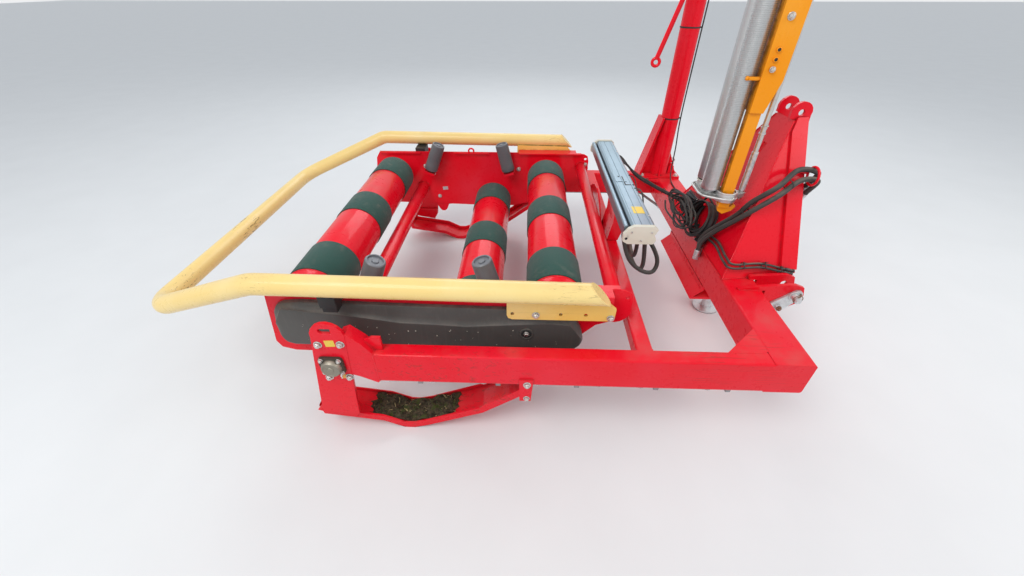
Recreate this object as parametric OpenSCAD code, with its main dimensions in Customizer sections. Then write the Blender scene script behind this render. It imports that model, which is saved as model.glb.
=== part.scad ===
// Bale wrapper carried on a tractor's rear linkage, with a turning film arm.
// Millimetres. +Z is up, +X points to the tractor, z = 0 is the ground.
// The machine stands parked on its two skids and its leg, table level.

/* [Frame] */
// half of the length, from the end of the loop to the hose ring
half_len = 1342; // [1338:1:1350]
// height of the square-cornered frame beams
beam_h = 140; // [136:2:144]
// outside diameter of the mast tube
mast_d = 105; // [96:1:108]
// height of the top of the mast
mast_top = 2370; // [2360:5:2400]

/* [Hitch] */
// diameter of the lower link pins
link_pin_d = 28.4; // [24:0.1:30]
// diameter of the top link pin that goes through the ears
top_pin_d = 25.4; // [22:0.1:28]

/* [Table] */
// radius of the bale rollers over their green bands
roller_r = 112; // [106:1:113]
// depth of the green bands
band_t = 4; // [3:0.5:6]
// radius of the roller stub shafts
stub_r = 20; // [16:1:22]
// radius of the shafts that the table tilts on
pivot_r = 25; // [20:1:28]
// outside diameter of the loop tube
loop_d = 76.1; // [70:0.1:77]
// radius of the side guides at the foot
guide_r = 41; // [36:1:42]

/* [Tilt cylinders] */
// radius of the piston rods
rod_r = 11; // [9:0.5:12]
// radius of the pins through the cylinder's fixed eyes
eye_pin_r = 10; // [8:0.5:11]
// radius of the pins on the table that the rod eyes swing round
tilt_pin_r = 8; // [6:0.5:9]

/* [Film dispenser] */
// radius of the ribbed roller
ribbed_r = 38; // [34:1:39]
// radius of the smooth roller
smooth_r = 30; // [26:1:31]
// angle at which the film arm is parked, from +X towards the near side
park_angle = 8.2; // [7.5:0.1:8.6]

/* [Fits] */
// radial clearance of every turning or sliding fit
fit = 0.05; // [0.02:0.01:0.1]
// gap left where one piece sits on another
seat = 0.2; // [0.1:0.05:0.3]

/* [Hidden] */
$fn = 64;

// frame
beam_w = 60;
beam_z0 = 466 - beam_h;
beam_z1 = 466;
beam_y = 851;
beam_out = beam_y + beam_w / 2;
main_x0 = 990;
main_x1 = 1130;
cross_x = 560;
plate_in = 868;
link_eye = [1262, 449];
top_eye = [1246, 1075];
mast_xy = [1009, 820];
slew_xy = [-224, 0];
leg_x = 1178;
leg_r = 25;

// table, all pairs are x and z
pivot = [-549, 408];
cross_tube_at = [471, 555];
rollers = [[-695, 525], [-80, 368], [250, 518]];
plate_y = 700;
plate_t = 8;
bands = [[-605, -404], [-98, 98], [404, 605]];
loop_y = 793.5;
loop_x = half_len - loop_d / 2;
guides = [["left", -474, [69, 0, 162]], ["right", 16, [-42, 0, 162]]];
guide_y = 640;
guide_z = 548;
guide_len = 168;
guide_pin_r = 10;

// tilt cylinders, base on the frame and eye on the table
cyl_base = [386, 360];
cyl_eye = [-434, 250];
cyl_y = 783;
cyl_len = norm(cyl_eye - cyl_base);
cyl_dir = (cyl_eye - cyl_base) / cyl_len;
eye_play = 7.6;

// film dispenser, measured out from the slewing axis
post_x = 1228;
ribbed_at = [1162, 22];
smooth_at = [1151, 103];
spindle_at = [1293, 20];
arm_z = mast_top - 290;
slew_r = 35;
film_pin_r = 10;
base_z = 758;
head_z = 1600;
post_foot = 716;
post_split = 1107;

// film clamp, x and z of its hinge pin
jaw_at = [512, 724];
jaw_pin_r = 5;

function unit(v) = v / norm(v);

// points on an arc, c is its centre, from angle a to angle b in n steps
function arc(c, r, a, b, n = 6) =
    [for (i = [0:n]) c + r * [cos(a + (b - a) * i / n), sin(a + (b - a) * i / n)]];

// outline of a rolled tube, w wide and h high about the origin, corner radius r
function tube_outline(w, h, r = 8) = concat(
    arc([w / 2 - r, h / 2 - r], r, 0, 90, 3), arc([r - w / 2, h / 2 - r], r, 90, 180, 3),
    arc([r - w / 2, r - h / 2], r, 180, 270, 3), arc([w / 2 - r, r - h / 2], r, 270, 360, 3));

// a strip t thick above a line of points
function strip(p, t) = concat(p, [for (i = [len(p) - 1:-1:0]) p[i] + [0, t]]);

// puts its children at o with their x along ex and their z along ez
module place(o, ex, ez) {
    ey = cross(ez, ex);
    multmatrix([[ex.x, ey.x, ez.x, o.x],
                [ex.y, ey.y, ez.y, o.y],
                [ex.z, ey.z, ez.z, o.z],
                [0, 0, 0, 1]])
        children();
}

// round bar from a to b
module rod(a, b, r) {
    ez = unit(b - a);
    ex = unit(cross(abs(ez.z) < 0.9 ? [0, 0, 1] : [1, 0, 0], ez));
    place(a, ex, ez) cylinder(h = norm(b - a), r = r);
}

// round bar along Y at the x and z of p, from y0 to y1
module bar_y(p, r, y0, y1) {
    translate([p[0], y1, p[1]]) rotate([90, 0, 0]) cylinder(h = y1 - y0, r = r);
}

// upright plate parallel to XZ, shape is in x and z, from y0 to y1
module wall(shape, y0, y1) {
    translate([0, y1, 0]) rotate([90, 0, 0]) linear_extrude(y1 - y0) polygon(shape);
}

// rolled tube along X from x0 to x1, and along Y from y0 to y1
module tube_x(x0, x1, y, z, w, h) {
    translate([x0, y, z]) rotate([90, 0, 90]) linear_extrude(x1 - x0) polygon(tube_outline(w, h));
}

module tube_y(x, z, w, h, y0, y1) {
    translate([x, y1, z]) rotate([90, 0, 0]) linear_extrude(y1 - y0) polygon(tube_outline(w, h));
}

// flat sheet through a list of points of one plane, t thick on the side they turn round
module sheet(p, t) {
    ex = unit(p[1] - p[0]);
    ez = unit(cross(ex, p[2] - p[0]));
    ey = cross(ez, ex);
    place(p[0], ex, ez) linear_extrude(t) polygon([for (q = p) [(q - p[0]) * ex, (q - p[0]) * ey]]);
}

// the points of a line with its corners rounded to the radius bend, n steps a corner
function rounded(p, bend, n) = concat([p[0]], [for (i = [1:len(p) - 2])
    let (d = unit(p[i] - p[i - 1]), e = unit(p[i + 1] - p[i]), turn = acos(d * e),
         side = unit(e - d * cos(turn)), start = p[i] - d * bend * tan(turn / 2))
    for (k = [0:n]) start + bend * (d * sin(turn * k / n) + side * (1 - cos(turn * k / n)))], [p[len(p) - 1]]);

// v carried along when the direction a turns into the direction b
function carried(v, a, b) = let (k = cross(a, b), s = norm(k)) s < 1e-6 ? v
    : let (u = k / s) v * (a * b) + cross(u, v) * s + u * (u * v) * (1 - a * b);

// one sideways direction for each ring of a tube, t holds the directions of the rings
function sideways(t, i = 0, v = [0, 0, 0]) = i == len(t) ? [] :
    let (w = i == 0 ? unit(cross(t[0], abs(t[0].z) < 0.9 ? [0, 0, 1] : [1, 0, 0])) : carried(v, t[i - 1], t[i]))
    concat([w], sideways(t, i + 1, w));

// bent tube of radius r through a list of points, with bends of the radius bend
module pipe(p, bend, r, sides = 10, steps = 5) {
    q = rounded(p, bend, steps);
    n = len(q);
    t = [for (i = [0:n - 1]) unit((i == n - 1 ? q[i] : q[i + 1]) - (i == 0 ? q[i] : q[i - 1]))];
    w = sideways(t);
    points = [for (i = [0:n - 1]) for (j = [0:sides - 1])
        q[i] + r * (w[i] * cos(360 * j / sides) + cross(t[i], w[i]) * sin(360 * j / sides))];
    walls = [for (i = [0:n - 2]) for (j = [0:sides - 1])
        let (a = i * sides + j, b = i * sides + (j + 1) % sides)
        for (f = [[a, a + sides, b + sides], [a, b + sides, b]]) f];
    ends = [[for (j = [0:sides - 1]) j], [for (j = [sides - 1:-1:0]) (n - 1) * sides + j]];
    polyhedron(points, concat(walls, ends));
}

// the same thing on the near and on the far side
module both_sides() {
    children();
    mirror([0, 1, 0]) children();
}

// Frame

module frame_beams() color("red") {
    both_sides() {
        tube_x(-394, main_x0 + 30, beam_y, (beam_z0 + beam_z1) / 2, beam_w, beam_h);
        translate([0, 0, beam_z1 - 14]) linear_extrude(12)
            polygon([[850, 825], [main_x0 + 4, 694], [main_x0 + 4, 825]]);
        bar_y(cyl_base, 18, 809, 825);
        bar_y(cyl_base, eye_pin_r, 762, 825);
        for (x = [-20, 590])
            wall([[x, beam_z0 + 2], [x + 12, beam_z0 - 14], [x + 38, beam_z0 - 14], [x + 50, beam_z0 + 2]],
                834, 844);
    }
    tube_y(main_x0 + 70, (beam_z0 + beam_z1) / 2, 140, beam_h, -beam_out, beam_out);
    tube_y(cross_x, beam_z1 - 30, 60, 60, -beam_y, beam_y);
}

end_plate_shape = concat(
    [[-655, 127], [-517, 127], [-474, 543]], arc([-533, 547], 60, 5, 165, 8), [[-592, 545], [-659, 160]]);
beam_end_shape = [[-394 - seat, beam_z0 + 1], [-394 - seat, beam_z1 - 1], [-426, 512], [-472, 556], [-498, 545],
                  [-498, 360], [-466, 349], [-403, beam_z0 - 10]];

module end_plates() color("red") both_sides() {
    difference() {
        union() {
            wall(end_plate_shape, plate_in, beam_out);
            wall(beam_end_shape, beam_out - 56, beam_out - 2);
            wall([[-425, beam_z1 + seat], [-365, beam_z1 + seat], [-365, 526], [-397, 526], [-425, 512]],
                846, 856);
        }
        bar_y(pivot, 40, 800, 900);
        translate([-548, 900, 572]) rotate([90, 0, 0]) cylinder(h = 60, r = 11);
        translate([-548, 840, 561]) cube([32, 60, 22]);
    }
}

module pivot_bearings() color("gray") both_sides() difference() {
    union() {
        wall([[-601, 396], [-561, 356], [-537, 356], [-497, 396], [-497, 420], [-537, 460], [-561, 460],
                [-601, 420]],
            beam_out, beam_out + 11);
        bar_y(pivot, 38, beam_out - 8, beam_out + 22);
    }
    bar_y(pivot, pivot_r + fit, beam_out - 30, beam_out + 40);
}

skid_line = [[-692, 124], [-684, 78], [-444, 41], [-362, 0], [-318, 0], [-264, 17], [-28, 113], [158, 250]];

module skids() color("red") both_sides() {
    wall(strip(skid_line, 9), 716, 852);
    wall(concat(skid_line, [[150, 286], [-40, 143], [-268, 48], [-318, 32], [-356, 32], [-440, 73], [-664, 107],
        [-672, 132]]), 844, 852);
    wall(concat(skid_line, [[150, 276], [-40, 133], [-268, 38], [-318, 24], [-356, 24], [-440, 63], [-664, 97],
        [-672, 132]]), 716, 722);
    wall([[-692, 124], [-655, 110], [-540, 90], [-517, 130], [-517, 168], [-655, 168]], 852, plate_in);
    wall([[120, 246], [162, 246], [170, 360], [118, 360]], beam_out, beam_out + 8);
    wall([[132, 246], [160, 246], [160, 262], [132, 262]], 844, beam_out + 8);
}

// corners of the A-frame's sheets, the rear sheet leans to the tractor and the sides lean in
rear_foot = [989, 388, 460];
side_foot = [1329, 330, 470];
side_top = [1273, 60, 1047];
rear_top = [1221, 69, 1047];
rear_lean = unit([rear_top.x - rear_foot.x, 0, rear_top.z - rear_foot.z]);
rear_height = norm([rear_top.x - rear_foot.x, 0, rear_top.z - rear_foot.z]);
side_corners = [rear_foot, side_foot, side_top, rear_top];
strap_corners = [[1252, 348, 492], [1325, 336, 492], [1280, 62, 1060], [1212, 76, 1060]];
ear_y = [45, 59];
sheet_t = 8;

// puts its children on the outside of the rear sheet, at the height z and the sideways place y
module on_rear_sheet(y, z, off = 0) {
    out = [-rear_lean.z, 0, rear_lean.x];
    place([rear_foot.x, 0, rear_foot.z] + rear_lean * (z - rear_foot.z) / rear_lean.z + [0, y, 0] + out * off,
        rear_lean, out) children();
}

// room taken by the rear sheet and all that lies behind it, up to the length h along the sheet
module behind_rear_sheet(h) {
    on_rear_sheet(0, rear_foot.z) translate([-100, -500, -sheet_t - seat]) cube([h + 100, 1000, 100]);
}

// room on the inner side of the plane through the first three points of p
module within(p) {
    ex = unit(p[1] - p[0]);
    place(p[0], ex, unit(cross(ex, p[2] - p[0]))) translate([-900, -900, -seat]) cube([1800, 1800, 60]);
}

module room_of_ears() translate([1100, -ear_y[1] - seat, 940]) cube([300, 2 * (ear_y[1] + seat), 300]);

// hook for the wound up cable, sideways place and height
hook = [-15, 620];
hook_r = 6;

// ring that the hoses pass through, on the near strap
hose_ring = [1302.4, -205, 866];

module rear_sheet() difference() {
    corners = [[rear_foot, 1], [rear_top, 1], [rear_top, -1], [rear_foot, -1]];
    sheet([for (c = corners) [c[0].x, c[1] * c[0].y, c[0].z]], sheet_t);
    translate([900, -500, 300]) cube([600, 1000, beam_z1 + seat - 300]);
    on_rear_sheet(0, 900) cube([80, 30, 60], center = true);
}

module headstock() color("red") {
    rear_sheet();
    both_sides() {
        difference() {
            sheet(side_corners, sheet_t);
            translate([900, 0, 300]) cube([600, 500, beam_z1 + seat - 300]);
            behind_rear_sheet(900);
            room_of_ears();
        }
        difference() {
            sheet(strap_corners, 18);
            within(side_corners);
            behind_rear_sheet(900);
            room_of_ears();
        }
        difference() {
            wall(concat([[1200, 960], [1296, 960]], arc(top_eye, 42, -15, 195, 10)), ear_y[0], ear_y[1]);
            bar_y(top_eye, top_pin_d / 2 + fit, 0, 100);
            behind_rear_sheet(rear_height + seat);
        }
    }
    translate([main_x1 + seat, -330, 350]) cube([12, 660, 130]);
    difference() {
        union() {
            place(hose_ring, [0, 1, 0], [1, 0, 0]) rotate_extrude() translate([36, 0]) circle(r = 5);
            rod([1262, -152, 866], [hose_ring.x, -170, 866], 6);
        }
        mirror([0, 1, 0]) within(strap_corners);
    }
    on_rear_sheet(hook[0], hook[1], seat) cylinder(h = 68, r = hook_r);
}

ear_front = [[1112, 486], [1236, 497], [1262, 497], [1297, 484], [1309, 446], [1294, 400], [1236, 366],
             [main_x1 + 13, 350], [main_x1 + 13, beam_z1 + seat]];
galvanised_shape = [[1178, 404], [1268, 474], [1284, 474], [1296, 462], [1298, 436], [1232, 362], [1208, 362]];

// the outer ears run back over the beam, row: y of the inside, x and z where the ear starts
module link_ears() color("red") both_sides() for (e = [[369, 1106, 484], [446, 1028, 474]]) difference() {
    wall(concat([[e[1], beam_z1 + seat], [e[1], e[2]]], ear_front), e[0], e[0] + 15);
    bar_y(link_eye, link_pin_d / 2 + fit, e[0] - 5, e[0] + 20);
}

module pin_plates() color("silver") both_sides() {
    wall(galvanised_shape, 461 + seat, 471);
    bar_y(link_eye, link_pin_d / 2, 471, 508);
    bar_y(link_eye, link_pin_d / 2 - 4, 508, 512);
    bar_y([1218, 388], 13, 471, 479);
}

module mast() color("red") {
    at = concat(mast_xy, [0]);
    translate(at + [0, 0, 478]) cylinder(h = mast_top - 490, r = mast_d / 2);
    translate(at + [0, 0, mast_top - 12]) cylinder(h = 12, r = mast_d / 2 + 6);
    translate([868, 746, beam_z1 + seat]) cube([262, 138, 12]);
    sheet([[962, 768, 832], [962, 872, 832], [878, 884, 476], [878, 756, 476]], 10);
    wall([[962, 478], [962, 826], [886, 478]], 815, 825);
    wall([[1050, 478], [1050, 640], [1120, 478]], 815, 825);
    sheet([[1004, 774, 640], [1004, 774, 478], [1004, 750, 478]], 10);
    translate([1066, 802, 476]) cube([34, 36, 50]);
    translate([1083, 820, 526]) cylinder(h = 18, r = 17, $fn = 6);
}

module overhead_beam() color("red") {
    away = unit(concat(mast_xy - slew_xy, [0]));
    from = concat(slew_xy, [mast_top - 72]);
    reach = norm(mast_xy - slew_xy);
    difference() {
        union() {
            place(from - away * 110, away, [0, 0, 1]) rotate([90, 0, 90]) linear_extrude(reach + 110)
                polygon(tube_outline(100, 120, 10));
            place(from + away * (reach - 330) - [0, 0, 50], away, [0, 0, 1]) rotate([90, 0, 0])
                linear_extrude(12, center = true) polygon([[0, 0], [300, 0], [300, -260]]);
        }
        translate(concat(mast_xy, [0])) cylinder(h = 3000, r = mast_d / 2 + seat);
    }
}

module slew_housing() color("dimgray") {
    low = mast_top - 132;
    difference() {
        union() {
            translate(concat(slew_xy, [low - 70])) cylinder(h = 66, r = 98);
            translate(concat(slew_xy, [low - 12])) cylinder(h = 12 - seat, r = 118);
        }
        translate(concat(slew_xy, [low - 80])) cylinder(h = 72, r = slew_r + fit);
    }
    translate(concat(slew_xy, [mast_top - 12 + seat])) cylinder(h = 22, r = 62);
    translate(concat(slew_xy, [mast_top + 8])) cylinder(h = 82, r = 46);
    translate(concat(slew_xy - [30, 80], [mast_top + 14])) cube([60, 60, 50]);
}

module leg_sleeve() color("red") {
    wall([[main_x0, beam_z0 - seat], [main_x0, beam_z0 - 26], [944, 256], [950, 248], [1150, 248], [1150, 262],
        [962, 262], [main_x0 + 14, beam_z0 - 24], [main_x0 + 14, beam_z0 - seat]], -250, 300);
    difference() {
        union() {
            translate([leg_x, 0, 300]) cylinder(h = 250, r = leg_r + 8);
            translate([main_x1 + 12.5, -30, 352]) cube([leg_x - main_x1 - 20, 60, 120]);
        }
        translate([leg_x, 0, 240]) cylinder(h = 400, r = leg_r + fit);
    }
    rod([leg_x, -leg_r - 4, 520], [leg_x, -leg_r - 40, 520], 7);
}

module parking_leg() color("silver") {
    translate([leg_x, 0, 10]) cylinder(h = 560, r = leg_r);
    translate([leg_x, 0, 0]) cylinder(h = 12, r = 70);
}

module cutter_block() color("red") {
    under = 702 - seat;
    wall([[538, beam_z1 + seat], [592, beam_z1 + seat], [620, 560], [620, under], [556, under], [556, 560]],
        -66, 126);
    translate([560, -262, 672]) cube([44, 524, under - 672]);
    difference() {
        translate([522, 0, 0]) rotate([90, 0, 90]) linear_extrude(8 - seat)
            polygon(concat([[60, 430], [560, 430]], arc([310, 260], 320, 38, 142, 8)));
        for (y = [130, 200, 270, 340, 410, 480])
            translate([500, y, 452 + 40 * cos((y - 310) / 3)]) rotate([0, 90, 0]) cylinder(h = 60, r = 7);
    }
}

module cutter_body() color("silver") {
    wall([[530, 702], [616, 702], [622, 712], [622, 762], [612, 771], [538, 771], [530, 763]], -476, 524);
    translate([540, -60, 770]) cube([8, 120, 3]);
    translate([548, -60, 770]) cube([40, 8, 3]);
    bar_y(jaw_at, jaw_pin_r, -490, 538);
}

module cutter_caps() color("beige") {
    for (y = [[-494, -476 - seat], [524 + seat, 542]]) difference() {
        wall(concat([[500, 712], [520, 700], [612, 700]], arc([606, 718], 20, -60, 60, 4),
            [[628, 762], [612, 776], [536, 776], [516, 764], [500, 742]]), y[0], y[1]);
        bar_y(jaw_at, jaw_pin_r + seat, y[0] - 5, y[1] + 5);
    }
}

module cutter_jaw() color("silver") difference() {
    union() {
        bar_y(jaw_at, 9, -470, 518);
        translate([jaw_at[0], 0, jaw_at[1]])
            wall([[-9, 0], [9, 0], [9, 38], [3, 44], [-5, 44], [-9, 38]], -470, 518);
    }
    bar_y(jaw_at, jaw_pin_r + fit, -480, 530);
}

module control_box() color("black") on_rear_sheet(150, 560, seat) {
    translate([-46, -60, 0]) cube([92, 120, 52]);
    translate([-38, -52, 50]) cube([76, 104, 14]);
}

// cable wound up on the hook, row: radius of the coil, radius of the cable, distance off the sheet
coils = [[74, 7, 9], [84, 8, 24], [80, 6, 37], [78, 6, 49]];

module cable_coils() color("black") {
    for (c = coils) on_rear_sheet(hook[0], hook[1] - (c[0] - c[1] - hook_r - seat) * rear_lean.z, c[2])
        rotate_extrude() translate([c[0], 0]) circle(r = c[1]);
    pipe([[1000, -60, 522], [1014, -200, 548], [1002, -336, 548], [1022, -372, 540], [1150, -346, 528],
        [1262, -356, 506]], 20, 5);
    pipe([[996, -60, 508], [1006, -200, 530], [994, -342, 530], [1016, -384, 524], [1150, -354, 514],
        [1256, -361, 494]], 20, 5);
}

// hoses up to the tractor, each is a list of points
hose_routes = [
    [[main_x0 - 11 - seat, -125, 440], [main_x0 - 13, -130, 540], [1052, -200, 680], [1084, -226, 756],
        [1146, -258, 838], [1236, -204, 890], [half_len - 14, -190, 872], [half_len - 14, -150, 800]],
    [[962, -150, 440], [970, -160, 540], [1046, -236, 680], [1094, -266, 750], [1160, -266, 806],
        [1250, -223.5, 854], [half_len - 18, -213.5, 848], [half_len - 18, -176, 780]]];

// half outline of a quick coupling: crimped sleeve, nut, nose and collar, as radius and distance
coupling_outline = [[0, 0], [12.5, 0], [12.5, 28], [14, 30], [14, 44], [10, 46], [10, 58], [12, 60], [12, 67],
                    [9, 72], [0, 72]];

module hoses() color("black") for (h = hose_routes) {
    along = unit(h[7] - h[6]);
    pipe(h, 22, 11);
    place(h[7] + along * seat, [1, 0, 0], along) rotate_extrude() polygon(coupling_outline);
}

module beam_pipe() color("gray") {
    both_sides() {
        pipe([[-372, 858, beam_z0 - 10], [930, 858, beam_z0 - 10], [950, 800, beam_z0 - 12],
            [1010, 640, beam_z0 - 12]], 30, 8);
        for (x = [-250, 40, 330, 620, 880]) translate([x - 9, 846, beam_z0 - 20]) cube([18, 24, 20 - seat]);
    }
    pipe([[614, 160, 699], [645, 110, 600], [650, 0, 500], [648, -150, 450], [632, -260, 520],
        [614, -300, 699]], 40, 9);
    pipe([[614, 190, 699], [655, 130, 560], [656, -40, 430], [660, -200, 410], [650, -340, 500],
        [614, -390, 699]], 40, 8);
}

// Table

plate_shape = concat(
    [[-800, 640], [-827, 600], [-867, 345], [-852, 312], [-800, 296], [-480, 290], [-190, 282], [50, 282],
     [180, 316], [306, 370], [400, 470]],
    arc([464, 545], 58, -105, 20, 6), [[520, 590], [512, 622], [490, 634], [440, 640]]);

module side_plates() color("red") both_sides() {
    difference() {
        wall(plate_shape, plate_y - 4, plate_y + 4);
        for (p = rollers) bar_y(p, stub_r + fit, plate_y - 20, plate_y + 20);
        bar_y(pivot, pivot_r + seat, plate_y - 20, plate_y + 20);
        bar_y([500, 604], 8, plate_y - 20, plate_y + 20);
    }
    for (p = rollers) difference() {
        bar_y(p, stub_r + 16, plate_y + 3, plate_y + 20);
        bar_y(p, stub_r + fit, plate_y - 20, plate_y + 40);
    }
    for (x = [[-796, -540], [-330, -110], [80, 470]])
        translate([x[0], plate_y - 20, 632]) cube([x[1] - x[0], 22, 8]);
    wall([[80, 604], [440, 604], [440, 640], [80, 640]], plate_y + 3, 752);
    wall([[-487, 296], [-387, 296], [-410, 244], [-424, 232], [-444, 232], [-456, 244]],
        plate_y + 3, plate_y + 15);
    bar_y(cyl_eye, tilt_pin_r, plate_y + 3, 804);
    translate([-220, plate_y, 646]) rotate([90, 0, 0]) rotate_extrude() translate([16, 0]) circle(r = 5);
    for (g = guides) place([g[1], guide_y, guide_z], unit(cross([0, 1, 0], g[2])), unit(g[2])) difference() {
        translate([-32, -38, -24]) cube([64, 96, 14]);
        translate([0, 0, -30]) cylinder(h = 30, r = guide_pin_r + fit);
    }
}

module guide(row, side) color("dimgray") {
    g = guides[row];
    mirror([0, side < 0 ? 1 : 0, 0]) place([g[1], guide_y, guide_z], unit(cross([0, 1, 0], g[2])), unit(g[2])) {
        rotate_extrude() polygon([[0, 0], [guide_r - 3, 0], [guide_r, 4], [guide_r - 3, guide_len - 6],
            [guide_r - 8, guide_len], [0, guide_len]]);
        translate([0, 0, -24]) cylinder(h = 30, r = guide_pin_r);
    }
}

module pivot_tube() color("red") {
    bar_y(pivot, 36.5, 4 + seat - plate_y, plate_y - 4 - seat);
    both_sides() {
        bar_y(pivot, pivot_r + 14, plate_y + 4 + seat, plate_y + 12);
        bar_y(pivot, pivot_r, plate_y - 10, beam_out + 24);
    }
}

module cross_tube() color("red") bar_y(cross_tube_at, 30, 4 + seat - plate_y, plate_y - 4 - seat);

cover_shape = concat(
    arc([-724, 512], 88, 90, 172, 5), arc([-744, 440], 80, 185, 270, 5), [[-560, 360]],
    arc([290, 426], 66, 270, 360, 5), arc([276, 520], 80, 0, 90, 5));

module side_cover() color("dimgray") mirror([0, 1, 0]) difference() {
    union() {
        wall(cover_shape, plate_y + 4 + seat, 738);
        wall([for (p = cover_shape) [p[0] * 0.97 - 8, (p[1] - 480) * 0.84 + 472]], 737, 744);
        for (x = [-640, -420, -200, 20]) translate([x, 743, 520]) cube([150, 4, 26]);
        wall([[-700, 566], [286, 566], [270, 590], [-686, 590]], 737, 750);
    }
    wall([for (p = cover_shape) [(p[0] + 224) * 0.985 - 224, (p[1] - 480) * 0.94 + 480]], plate_y, 732);
    bar_y(rollers[1], stub_r + 18, plate_y, 732);
    bar_y(pivot, pivot_r + 22, plate_y, 780);
    bar_y([313, 434], 12, 740, 760);
}

module loop() color("beige") {
    far = [[430, loop_y, 685.5], [-789, loop_y, 699], [-loop_x, 680, 490]];
    near = [for (i = [2:-1:0]) [far[i].x, -far[i].y, far[i].z]];
    difference() {
        pipe(concat(far, near), 112, loop_d / 2, 32, 9);
        for (s = [-1, 1]) translate([373, s * loop_y - 60, 725]) rotate([0, -22.7, 0])
            translate([0, 0, -140]) cube([120, 120, 200]);
    }
}

module loop_flanges() color("gold") both_sides() difference() {
    wall([[72, 578], [434, 572], [408, 636], [384, 664], [72, 667.5]], 752, 762);
    for (x = [100, 185, 270, 355]) bar_y([x, 604], 7, 740, 780);
}

module buffers() color("black") both_sides() {
    wall([[-574, 604], [-514, 604], [-514, 657.7], [-574, 658.3]], plate_y + 4 + seat, 800);
    wall([[-570, 583], [-518, 583], [-518, 610], [-570, 610]], 753, 796);
}

module roller_motor() color("gray") difference() {
    union() {
        bar_y(rollers[2], 44, plate_y + 20, plate_y + 62);
        bar_y(rollers[2], 36, plate_y + 60, plate_y + 84);
        translate([rollers[2][0] - 24, plate_y + 26, rollers[2][1] - 66]) cube([48, 34, 34]);
    }
    bar_y(rollers[2], stub_r + fit, plate_y, plate_y + 40);
}

// Rollers

module roller(p) color("red") {
    core = roller_r - band_t;
    translate([p[0], 0, p[1]]) rotate([90, 0, 0]) {
        cylinder(h = 1220, r = core, center = true);
        for (s = [0, 1]) mirror([0, 0, s]) {
            translate([0, 0, 609]) cylinder(h = 40, r1 = core, r2 = core - 28);
            translate([0, 0, 648]) cylinder(h = 22, r1 = core - 28, r2 = stub_r + 12);
            translate([0, 0, 660]) cylinder(h = plate_y + 24 - 660, r = stub_r);
        }
    }
}

module roller_bands(p) color("darkgreen") for (b = bands) difference() {
    bar_y(p, roller_r, b[0], b[1]);
    bar_y(p, roller_r - band_t, b[0] - 5, b[1] + 5);
}

// Tilt cylinders

module along_cylinder(a, b, r) {
    p = cyl_base + cyl_dir * a;
    q = cyl_base + cyl_dir * b;
    rod([p[0], cyl_y, p[1]], [q[0], cyl_y, q[1]], r);
}

module tilt_barrel(side) color("black") mirror([0, side < 0 ? 1 : 0, 0]) difference() {
    union() {
        along_cylinder(12, 640, 22);
        along_cylinder(606, 640, 24);
        bar_y(cyl_base, 20, cyl_y - 14, cyl_y + 14);
    }
    bar_y(cyl_base, eye_pin_r + fit, cyl_y - 20, cyl_y + 20);
    along_cylinder(60, 610, 16);
    along_cylinder(600, 660, rod_r + fit);
}

module tilt_rod(side) color("silver") mirror([0, side < 0 ? 1 : 0, 0]) difference() {
    union() {
        along_cylinder(300, cyl_len - tilt_pin_r - eye_play - 2, rod_r);
        along_cylinder(270, 302, 16 - fit);
        bar_y(cyl_eye, tilt_pin_r + eye_play + 7, cyl_y - 13, cyl_y + 13);
    }
    bar_y(cyl_eye, tilt_pin_r + eye_play, cyl_y - 20, cyl_y + 20);
}

// Film arm, drawn outwards along X from the slewing axis and turned to where it is parked

module at_park() {
    translate(concat(slew_xy, [0])) rotate([0, 0, -park_angle]) children();
}

module rotor_hub() color("dimgray") at_park() {
    translate([0, 0, arm_z + 40 + seat]) cylinder(h = mast_top - 132 - 78 - arm_z - 40, r = 90);
    translate([0, 0, arm_z + 60]) cylinder(h = mast_top - 132 - 14 - arm_z - 60, r = slew_r);
}

module rotor_arm() color("orange") at_park() {
    tube_x(-130, post_x + 60, 0, arm_z, 80, 80);
    wall([[post_x - 24, post_split], [post_x + 24, post_split], [post_x + 52, post_split + 111],
        [post_x + 52, arm_z - 30], [post_x - 24, arm_z - 30]], -32, 32);
    wall([[post_x - 160, arm_z - 38], [post_x - 20, arm_z - 38], [post_x - 20, arm_z - 190]], -6, 6);
    for (z = [1255, 1286, 1316]) bar_y([post_x + 2, z], 9, -38, 0);
}

module lower_post() color("orange") at_park() {
    translate([post_x - 22, -22, post_foot]) cube([44, 44, post_split - post_foot]);
    wall([[post_x - 24, 730], [post_x - 16, 694], [post_x + 6, 682], [post_x + 40, 700], [post_x + 52, 722],
        [post_x + 40, 730], [post_x + 26, 716], [post_x + 22, 736]], -12, 12);
}

// flat arm between two points with round ends
module flat_arm(a, b, w, h) {
    to = atan2(b.y - a.y, b.x - a.x);
    linear_extrude(h) polygon(concat(arc(a, w, to + 90, to + 270, 10), arc(b, w, to - 90, to + 90, 10)));
}

module film_bores() {
    for (p = [ribbed_at, smooth_at, spindle_at])
        translate(concat(p, [-40])) cylinder(h = 120, r = film_pin_r + fit);
}

module dispenser_base() color("silver") at_park() translate([0, 0, base_z]) difference() {
    union() {
        flat_arm(ribbed_at, smooth_at, 30, 14);
        translate([0, 0, 1]) flat_arm(ribbed_at, [post_x, 0], 24, 11);
        translate([0, 0, 2]) flat_arm([post_x, 0], spindle_at, 17, 16);
        translate([post_x, 0, -12]) cylinder(h = 34, r = 44);
        translate(concat(smooth_at, [4])) cylinder(h = 26, r = 24);
    }
    translate([post_x - 22, -22, -40]) cube([44, 44, 120]);
    film_bores();
}

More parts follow.
